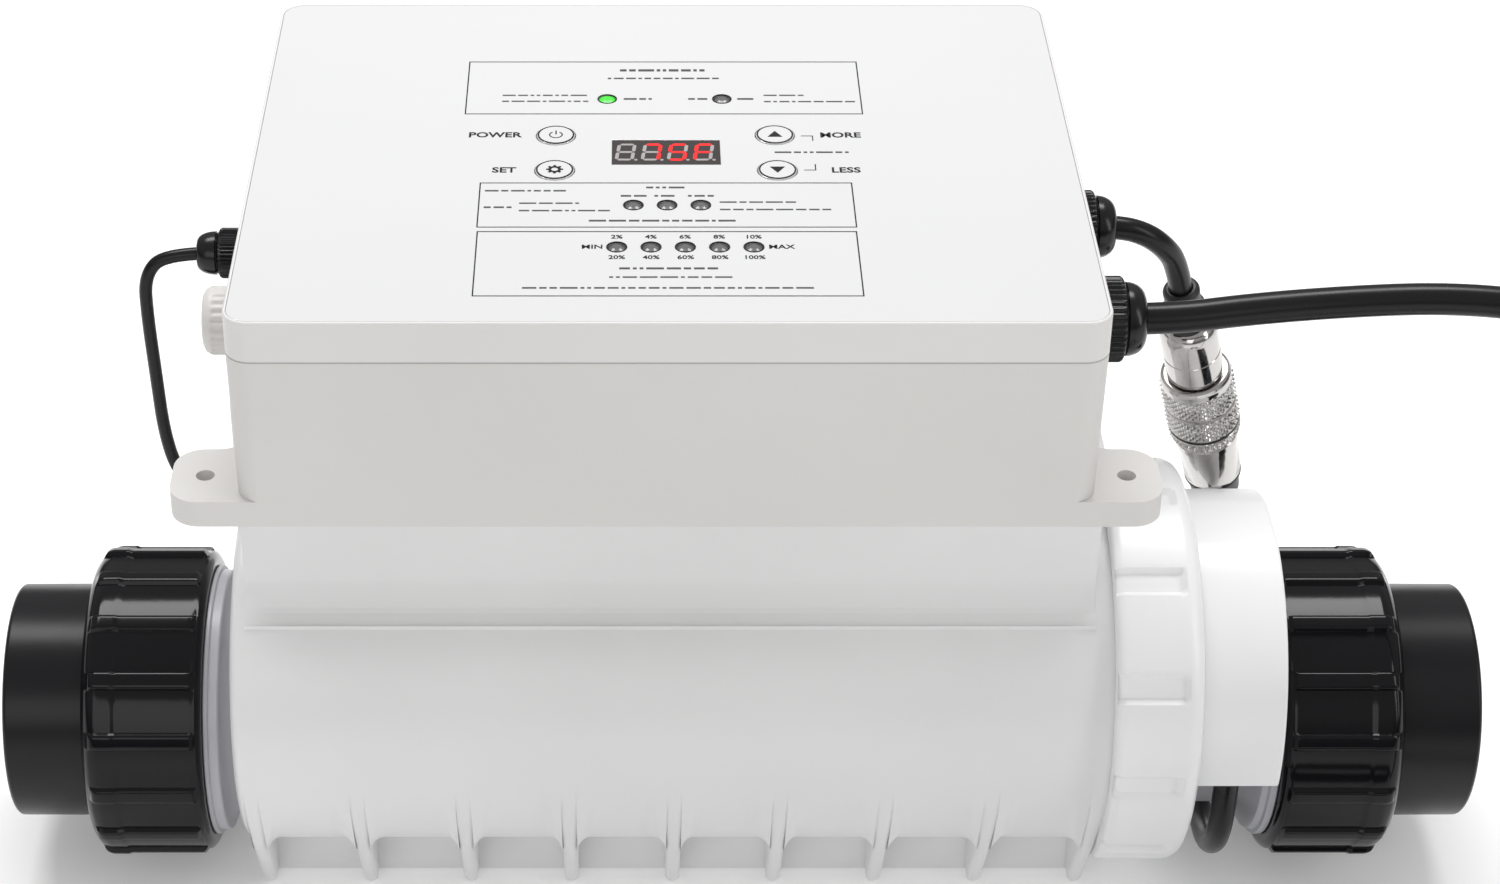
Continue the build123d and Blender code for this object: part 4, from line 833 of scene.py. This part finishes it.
GLANDS = {
    "mains": ((RIGHT_WALL, MAINS_Y, RIGHT_LEAD_Z), (1, 0, 0), 20.0, 12.1, 10.4, 9.1, MAINS_D / 2),
    "output": ((RIGHT_WALL, OUTPUT_Y, RIGHT_LEAD_Z), (1, 0, 0), 18.0, 10.8, 9.2, 7.6, OUTPUT_D / 2),
    "sensor": ((LEFT_WALL, SENSOR_Y, LEFT_Z), (-1, 0, 0), 18.0, 7.2, 6.2, 5.1, SENSOR_D / 2),
}
for gland_name, (origin, direction, reach, flange_r, dome_r, thread_r, cord_r) in GLANDS.items():
    gland(f"{gland_name}_dome_nut", f"{gland_name}_gland_nut", f"{gland_name}_nut", origin, direction, reach,
          flange_r, dome_r, thread_r, cord_r)
    body_outline = [(-10.0, cord_r + 0.5), (5.0, cord_r + 0.5), (5.0, flange_r - 0.5), (4.4, flange_r),
                    (0.1, flange_r), (0.1, thread_r), (-10.0, thread_r)]
    dense_outline = steps_between(rounded(body_outline, 0.4), 0.6)
    lathe(f"{gland_name}_gland_body", dense_outline, origin, direction, GLAND, "unit", 288,
          flutes(40, -0.4, 0.8, 4.2))

cap_outline = [(2.3, 0.05), (11.2, 0.05), (11.2, 3.0), (12.0, 3.2), (12.0, 7.4), (11.4, 8.6), (10.2, 9.3),
               (9.6, 9.5), (2.6, 9.5), (2.3, 9.2)]
fuse_cap = lathe("fuse_cap_grip", steps_between(cap_outline, 0.5), (LEFT_WALL, FUSE_Y, LEFT_Z), (-1, 0, 0),
                 BOX, "fuse_cap", 192, flutes(24, -0.5, 3.4, 9.2))
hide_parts("fuse_cap")


# ------------------------ the cell's connector
def knurl(bands, teeth=34, depth=0.42):
    """Diamond knurling inside the given bands of the line."""
    def bump(s, r, angle):
        for low, high in bands:
            if low < s < high:
                twist = s * teeth / r
                first = abs(((teeth * angle + twist) / (2 * pi)) % 1.0 - 0.5) * 2.0
                second = abs(((teeth * angle - twist) / (2 * pi)) % 1.0 - 0.5) * 2.0
                return depth * (min(first, second) * 2.0 - 0.6) * smooth_step(min(s - low, high - s) / 0.35)
        return 0.0
    return bump


plug_outline = [(15.4, 0.05), (15.4, 6.0), (15.9, 6.9), (17.0, 8.0), (18.4, 8.6), (20.0, 8.8), (27.9, 8.8),
                (28.1, 8.62), (28.4, 8.62), (28.6, 8.8), (37.3, 8.8), (37.5, 8.2), (66.9, 8.2), (66.9, 0.05)]
plug_shell = lathe("connector_shell", plug_outline, BOOT_TOP, HANG, CHROME, "unit", 128)
boot_outline = [(0.0, 3.55), (0.0, 4.4), (0.8, 5.3), (1.6, 5.6), (3.0, 5.5), (6.2, 5.3), (7.4, 5.9),
                (8.0, 6.4), (10.0, 6.5), (15.4, 6.3), (15.4, 3.55)]
plug_boot = lathe("connector_boot", rounded(boot_outline, 0.3, 2), BOOT_TOP, HANG, BOOT, "unit", 96)
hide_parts("connector_plug")
ring_outline = [(38.0, 8.5), (66.8, 8.5), (66.8, 9.3), (66.4, 9.9), (65.2, 10.6), (61.9, 11.1), (61.5, 10.6),
                (60.7, 10.6), (60.3, 11.05), (51.6, 11.05), (51.3, 10.5), (50.3, 10.5), (50.0, 11.05),
                (41.2, 11.05), (40.9, 10.95), (39.4, 10.95), (38.4, 10.5), (38.0, 9.8)]
ring_bands = [(41.4, 49.8), (51.8, 60.1), (62.1, 66.2)]
dense_outline = steps_between(ring_outline, 0.35)
coupling = lathe("coupling_shell", dense_outline, BOOT_TOP, HANG, CHROME, "coupling", 528, knurl(ring_bands))
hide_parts("coupling_ring")
band_outline = [(60.5, 10.5), (61.7, 10.5), (61.7, 10.85), (60.5, 10.85)]
black_ring = lathe("coupling_band", band_outline, BOOT_TOP, HANG, SEAL, "coupling", 96)
socket_outline = [(67.1, 0.05), (67.1, 9.4), (67.5, 9.9), (69.6, 9.9), (70.0, 9.3), (84.4, 9.1), (84.8, 8.9),
                  (86.0, 8.9), (86.0, 0.05)]
socket_shell = lathe("socket_shell", socket_outline, BOOT_TOP, HANG, CHROME, "cartridge", 128)
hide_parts("connector_socket")
end_outline = [(86.0, 0.05), (86.0, 9.0), (87.4, 9.0), (88.0, 8.2), (94.6, 7.6), (97.4, 5.8), (98.0, 5.0),
               (98.0, 0.05)]
socket_end = lathe("socket_boot", rounded(end_outline, 0.4, 2), BOOT_TOP, HANG, BOOT, "cartridge", 96)


# ------------------------ panel art
INK_TOP = LID_TOP + 0.06
INK_LOW = LID_TOP - 0.05


def flat_shape(name, outlines, material=INK, body="unit", top=INK_TOP, low=INK_LOW):
    """Thin printed shapes: each outline is a closed list of (x, y) from the lid's middle."""
    points, faces = [], []
    for outline in outlines:
        base, count = len(points), len(outline)
        points += [(BOX_X + x, y, low) for x, y in outline]
        points += [(BOX_X + x, y, top) for x, y in outline]
        faces.append(tuple(base + k for k in range(count)))
        faces.append(tuple(base + count + k for k in range(count)))
        faces += join_rings(base, base + count, count)
    return build(name, points, faces, material, body)


def stroke(x1, y1, x2, y2, width=0.3):
    """A straight printed line as a four-sided outline."""
    along = Vector((x2 - x1, y2 - y1)).normalized()
    across = Vector((-along.y, along.x)) * width / 2
    return [(x1 + across.x, y1 + across.y), (x1 - across.x, y1 - across.y), (x2 - across.x, y2 - across.y),
            (x2 + across.x, y2 + across.y)]


def frame_lines(left, low, right, high, width=0.35):
    """The four lines of a printed frame."""
    half = width / 2
    return [stroke(left - half, low, right + half, low, width),
            stroke(left - half, high, right + half, high, width),
            stroke(left, low, left, high, width),
            stroke(right, low, right, high, width)]


def ring_strokes(x, y, radius, width, start=0.0, end=360.0, count=48):
    """A printed circle or arc as short four-sided pieces."""
    outer, inner = radius + width / 2, radius - width / 2
    shapes = []
    for k in range(count):
        a = radians(start + (end - start) * k / count)
        b = radians(start + (end - start) * (k + 1) / count)
        corners = ((outer, a), (inner, a), (inner, b), (outer, b))
        shapes.append([(x + r * cos(angle), y + r * sin(angle)) for r, angle in corners])
    return shapes


flat_shape("panel_frames", frame_lines(-56.2, 21.2, 56.2, 53.1) + frame_lines(-50.4, -42.4, 50.8, -18.5)
           + frame_lines(-50.2, -77.6, 50.6, -44.8))
flat_shape("panel_brackets", [
    stroke(38.2, 8.2, 41.4, 8.2),
    stroke(41.4, 8.35, 41.4, 5.4),
    stroke(38.2, -11.3, 41.4, -11.3),
    stroke(41.4, -11.45, 41.4, -8.0),
])

BUTTONS = {
    "power_button": (-30.3, 8.5),
    "set_button": (-30.3, -11.4),
    "more_button": (30.9, 8.7),
    "less_button": (30.9, -11.4),
}
BUTTON_TOP = LID_TOP + 0.3
RING_AT = 4.9


def button_icon(node, x, y):
    """The printed outline and symbol on one button, moving with it."""
    shapes = ring_strokes(x, y, RING_AT, 0.42)
    if node == "power_button":
        shapes += ring_strokes(x, y - 0.1, 1.75, 0.36, 125.0, 415.0, 30)
        shapes.append(stroke(x, y + 0.1, x, y + 2.3, 0.36))
    elif node == "set_button":
        shapes += ring_strokes(x, y, 1.35, 0.85, count=32)
        for k in range(8):
            a = radians(45.0 * k)
            across, up = cos(a), sin(a)
            shapes.append(stroke(x + 1.6 * across, y + 1.6 * up, x + 2.35 * across, y + 2.35 * up, 0.72))
    else:
        up = 1 if node == "more_button" else -1
        shapes.append([(x - 2.1, y - up * 1.5), (x + 2.1, y - up * 1.5), (x, y + up * 1.9)])
    flat_shape(node + "_print", shapes, INK, node, BUTTON_TOP + 0.05, BUTTON_TOP - 0.1)


for button_name, spot in BUTTONS.items():
    button_icon(button_name, *spot)


def printed_text(name, words, x, y, height, wide=1.0, bold=0.05):
    """Plain lettering centred at (x, y) on the panel, as a mesh a hair above the film."""
    letters = bpy.data.curves.new(name, "FONT")
    letters.body = words
    letters.size = height * MM / 0.72
    letters.align_x = "CENTER"
    letters.align_y = "CENTER"
    letters.extrude = 0.05 * MM
    letters.offset = bold * MM
    letters.resolution_u = 3
    holder = bpy.data.objects.new(name + "_curve", letters)
    SCENE.collection.objects.link(holder)
    bpy.context.view_layer.update()
    ready = holder.evaluated_get(bpy.context.evaluated_depsgraph_get())
    mesh = bpy.data.meshes.new_from_object(ready)
    bpy.data.objects.remove(holder)
    bpy.data.curves.remove(letters)
    place = Matrix.Translation(Vector((BOX_X + x, y, INK_TOP - 0.05)) * MM)
    mesh.transform(place @ Matrix.Diagonal((wide, 1.0, 1.0, 1.0)))
    return add_piece(name, mesh, INK, "unit")


LABELS = [("POWER", -47.4, 8.7), ("SET", -44.2, -11.4), ("MORE", 49.2, 8.6), ("LESS", 49.7, -11.4)]
LEVEL_XS = [-13.1 + 9.05 * i for i in range(5)]
for index, (words, x, y) in enumerate(LABELS):
    printed_text(f"label_{index}", words, x, y, 2.9, 1.06, 0.09)
printed_text("label_min", "MIN", -19.6, -52.8, 2.1, 1.1)
printed_text("label_max", "MAX", 30.4, -52.8, 2.1, 1.1)
for index, x in enumerate(LEVEL_XS):
    printed_text(f"boost_percent_{index}", f"{2 * index + 2}%", x, -47.6, 1.9)
    printed_text(f"level_percent_{index}", f"{20 * index + 20}%", x, -58.2, 1.9)


def dashes(left, right, y, size=1.15, seed=1):
    """A line of small print, drawn as plain dashes of uneven width."""
    shapes, x, k, height = [], left, seed, 0.62 * size
    while x < right - 0.8:
        k = (k * 37 + 11) % 101
        width = min(1.0 + (k % 5) * 0.9, right - x)
        shapes.append([(x, y - height / 2), (x + width, y - height / 2), (x + width, y + height / 2),
                       (x, y + height / 2)])
        x += width + 0.75
    return shapes


PRINT_ROWS = [
    (-12.5, 12.0, 47.8, 2.1, 3),
    (-16.0, 16.5, 42.8, 1.3, 5),
    (-46.0, -21.5, 32.4, 1.1, 7),
    (-46.0, -21.5, 28.8, 1.1, 9),
    (-11.4, -3.4, 30.2, 1.5, 4),
    (7.0, 12.6, 30.2, 1.5, 6),
    (21.0, 26.4, 30.2, 1.5, 8),
    (28.6, 40.0, 32.4, 1.1, 10),
    (28.6, 54.5, 28.6, 1.1, 12),
    (30.5, 51.0, -1.2, 1.3, 14),
    (-49.0, -27.0, -22.8, 1.2, 16),
    (-49.0, -41.5, -31.8, 1.3, 18),
    (-39.5, -23.0, -29.6, 1.1, 20),
    (-39.5, -15.0, -33.6, 1.1, 22),
    (-5.2, 5.2, -21.0, 1.4, 24),
    (14.6, 36.0, -29.0, 1.1, 26),
    (14.6, 44.5, -33.0, 1.1, 28),
    (-20.6, 19.6, -39.0, 1.4, 32),
    (-12.4, 13.4, -63.8, 1.5, 34),
    (-15.0, 17.0, -68.2, 1.1, 36),
    (-37.5, 38.5, -73.6, 1.2, 38),
]
small_print = [shape for row in PRINT_ROWS for shape in dashes(*row)]
for x in (-8.7, 0.4, 9.5):
    small_print += dashes(x - 3.4, x + 3.6, -25.6, 1.4, 30 + int(x))
flat_shape("panel_small_print", small_print, SMALL_INK)

LED_R = 2.5
GOOD_LED, LOW_LED = (-16.1, 30.2), (16.6, 30.2)
GREY_LEDS = [LOW_LED] + [(-8.7 + 9.1 * i, -30.6) for i in range(3)] + [(x, -52.8) for x in LEVEL_XS]
led_rings = []
for x, y in [GOOD_LED] + GREY_LEDS:
    led_rings += ring_strokes(x, y, LED_R + 0.12, 0.3, count=32)
flat_shape("lamp_rims", led_rings, INK, "unit", LID_TOP + 0.12, LID_TOP - 0.2)


# ------------------------ four-digit display behind the window
WINDOW_AT, WINDOW = (0.4, -1.1), (30.0, 14.0)
DIGIT_XS = (-10.8, -3.6, 3.6, 10.8)
DIGIT_W, DIGIT_H, SEG_W, SLANT, DOT_R = 4.3, 8.6, 1.0, 0.10, 0.5
LIT = ("", "abc", "acdfg", "aefg")
DIGIT_TOP = LID_TOP + 0.045


def segment(x, y, x1, y1, x2, y2):
    """One bar of a digit with pointed ends, slanted to the right."""
    along = Vector((x2 - x1, y2 - y1)).normalized()
    across = Vector((-along.y, along.x)) * SEG_W / 2
    start = Vector((x1, y1)) + along * 0.18
    end = Vector((x2, y2)) - along * 0.18
    inset = along * SEG_W / 2
    corners = [start, start + inset + across, end - inset + across, end, end - inset - across,
               start + inset - across]
    return [(x + p.x + SLANT * p.y, y + p.y) for p in corners]


def digit_bars(x, y):
    """The seven bars of a digit by their usual letters."""
    w, h = DIGIT_W / 2, DIGIT_H / 2
    lines = {"a": (-w, h, w, h), "b": (w, h, w, 0), "c": (w, 0, w, -h), "d": (-w, -h, w, -h),
             "e": (-w, 0, -w, -h), "f": (-w, h, -w, 0), "g": (-w, 0, w, 0)}
    return {letter: segment(x, y, *line) for letter, line in lines.items()}


lit_bars, dark_bars = [], []
for digit_x, lit in zip(DIGIT_XS, LIT):
    for letter, bar in digit_bars(digit_x, WINDOW_AT[1]).items():
        (lit_bars if letter in lit else dark_bars).append(bar)
    dot_x, dot_y = digit_x + 2.8, WINDOW_AT[1] - 4.4
    turns = [radians(45 * k) for k in range(8)]
    dark_bars.append([(dot_x + DOT_R * cos(turn), dot_y + DOT_R * sin(turn)) for turn in turns])
flat_shape("digits_lit", lit_bars, SEGMENT_ON, "unit", DIGIT_TOP, LID_TOP - 0.3)
flat_shape("digits_dark", dark_bars, SEGMENT_OFF, "unit", DIGIT_TOP, LID_TOP - 0.3)
half_w, half_d = WINDOW[0] / 2 - 0.05, WINDOW[1] / 2 - 0.05
window_corners = ((-1, -1), (1, -1), (1, 1), (-1, 1))
window_face = [(WINDOW_AT[0] + sx * half_w, WINDOW_AT[1] + sy * half_d) for sx, sy in window_corners]
display_face = flat_shape("display_face", [window_face], DISPLAY, "unit", LID_TOP, LID_TOP - 0.75)
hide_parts("display_window")


# ------------------------ beads where the saddle meets the shell
BEAD_Z, BEAD_ENDS, BEAD_SIDES = 107.3, (-125.7, 122.8), 12
BEAD_W, BEAD_H, BEAD_PROUD = 0.36, 0.7, 0.55


def saddle_beads():
    """A low rounded bead along each side of the cell, at the height of the saddle's foot."""
    shell_y = sqrt(SHELL_R ** 2 - (BEAD_Z - CELL_Z) ** 2)
    for side_name, side in (("front", -1), ("back", 1)):
        middle_y = side * shell_y * (1 + BEAD_PROUD / SHELL_R)
        middle_z = BEAD_Z + (BEAD_Z - CELL_Z) / SHELL_R * BEAD_PROUD - 0.4
        turns = [2 * pi * k / BEAD_SIDES for k in range(BEAD_SIDES)]
        points = [(x, middle_y + side * BEAD_W * cos(turn), middle_z + BEAD_H * sin(turn))
                  for x in BEAD_ENDS for turn in turns]
        faces = join_rings(0, BEAD_SIDES, BEAD_SIDES)
        faces += [tuple(range(BEAD_SIDES)), tuple(range(BEAD_SIDES, 2 * BEAD_SIDES))]
        build(f"saddle_seam_{side_name}", points, faces, HOUSING, "unit")


saddle_beads()


# ------------------------ floor, lights
def make_stage():
    """Plain white floor."""
    mesh = bpy.data.meshes.new("floor")
    size, z = 6.0, -0.0002
    corners = [(-size, -size, z), (size, -size, z), (size, size, z), (-size, size, z)]
    mesh.from_pydata(corners, [], [(0, 1, 2, 3)])
    material, _, shader, _ = new_material("floor_white")
    shader.inputs["Base Color"].default_value = (0.93, 0.93, 0.93, 1.0)
    shader.inputs["Emission Color"].default_value = (1.0, 1.0, 1.0, 1.0)
    shader.inputs["Emission Strength"].default_value = 0.16
    shader.inputs["Roughness"].default_value = 0.9
    shader.inputs["Specular IOR Level"].default_value = 0.1
    mesh.materials.append(material)
    floor = bpy.data.objects.new("floor", mesh)
    SCENE.collection.objects.link(floor)


def add_light(name, place, target, size, power):
    """A soft rectangular light aimed at a point."""
    lamp = bpy.data.lights.new(name, "AREA")
    lamp.shape = "RECTANGLE"
    lamp.size, lamp.size_y = size
    lamp.energy = power
    light = bpy.data.objects.new(name, lamp)
    light.location = place
    aim = Vector(target) - Vector(place)
    light.rotation_euler = aim.to_track_quat("-Z", "Y").to_euler()
    SCENE.collection.objects.link(light)


def make_world():
    """Studio surround, bright overhead and darker towards the horizon, for contrast in metal and gloss."""
    world = bpy.data.worlds.new("studio")
    SCENE.world = world
    world.use_nodes = True
    tree = world.node_tree
    background = tree.nodes["Background"]
    background.inputs["Strength"].default_value = 0.46
    coords = tree.nodes.new("ShaderNodeTexCoord")
    parts = tree.nodes.new("ShaderNodeSeparateXYZ")
    tree.links.new(coords.outputs["Generated"], parts.inputs["Vector"])
    height = add_range(tree, parts.outputs["Z"], 0.0, 1.0, 0.02, 0.40)
    tree.links.new(add_mix(tree, height, (0.16, 0.16, 0.17), (1.0, 1.0, 1.0)), background.inputs["Color"])


make_stage()
make_world()
SCENE.view_settings.view_transform = "Standard"
add_light("top_light", (-0.05, 0.50, 1.4), (0.0, 0.0, 0.1), (1.5, 0.42), 19.5)
add_light("front_light", (-0.5, -1.6, 0.8), (0.0, 0.0, 0.1), (1.6, 0.8), 6.0)
add_light("right_strip", (1.2, -0.6, 0.7), (0.1, 0.0, 0.1), (0.3, 1.0), 3.5)
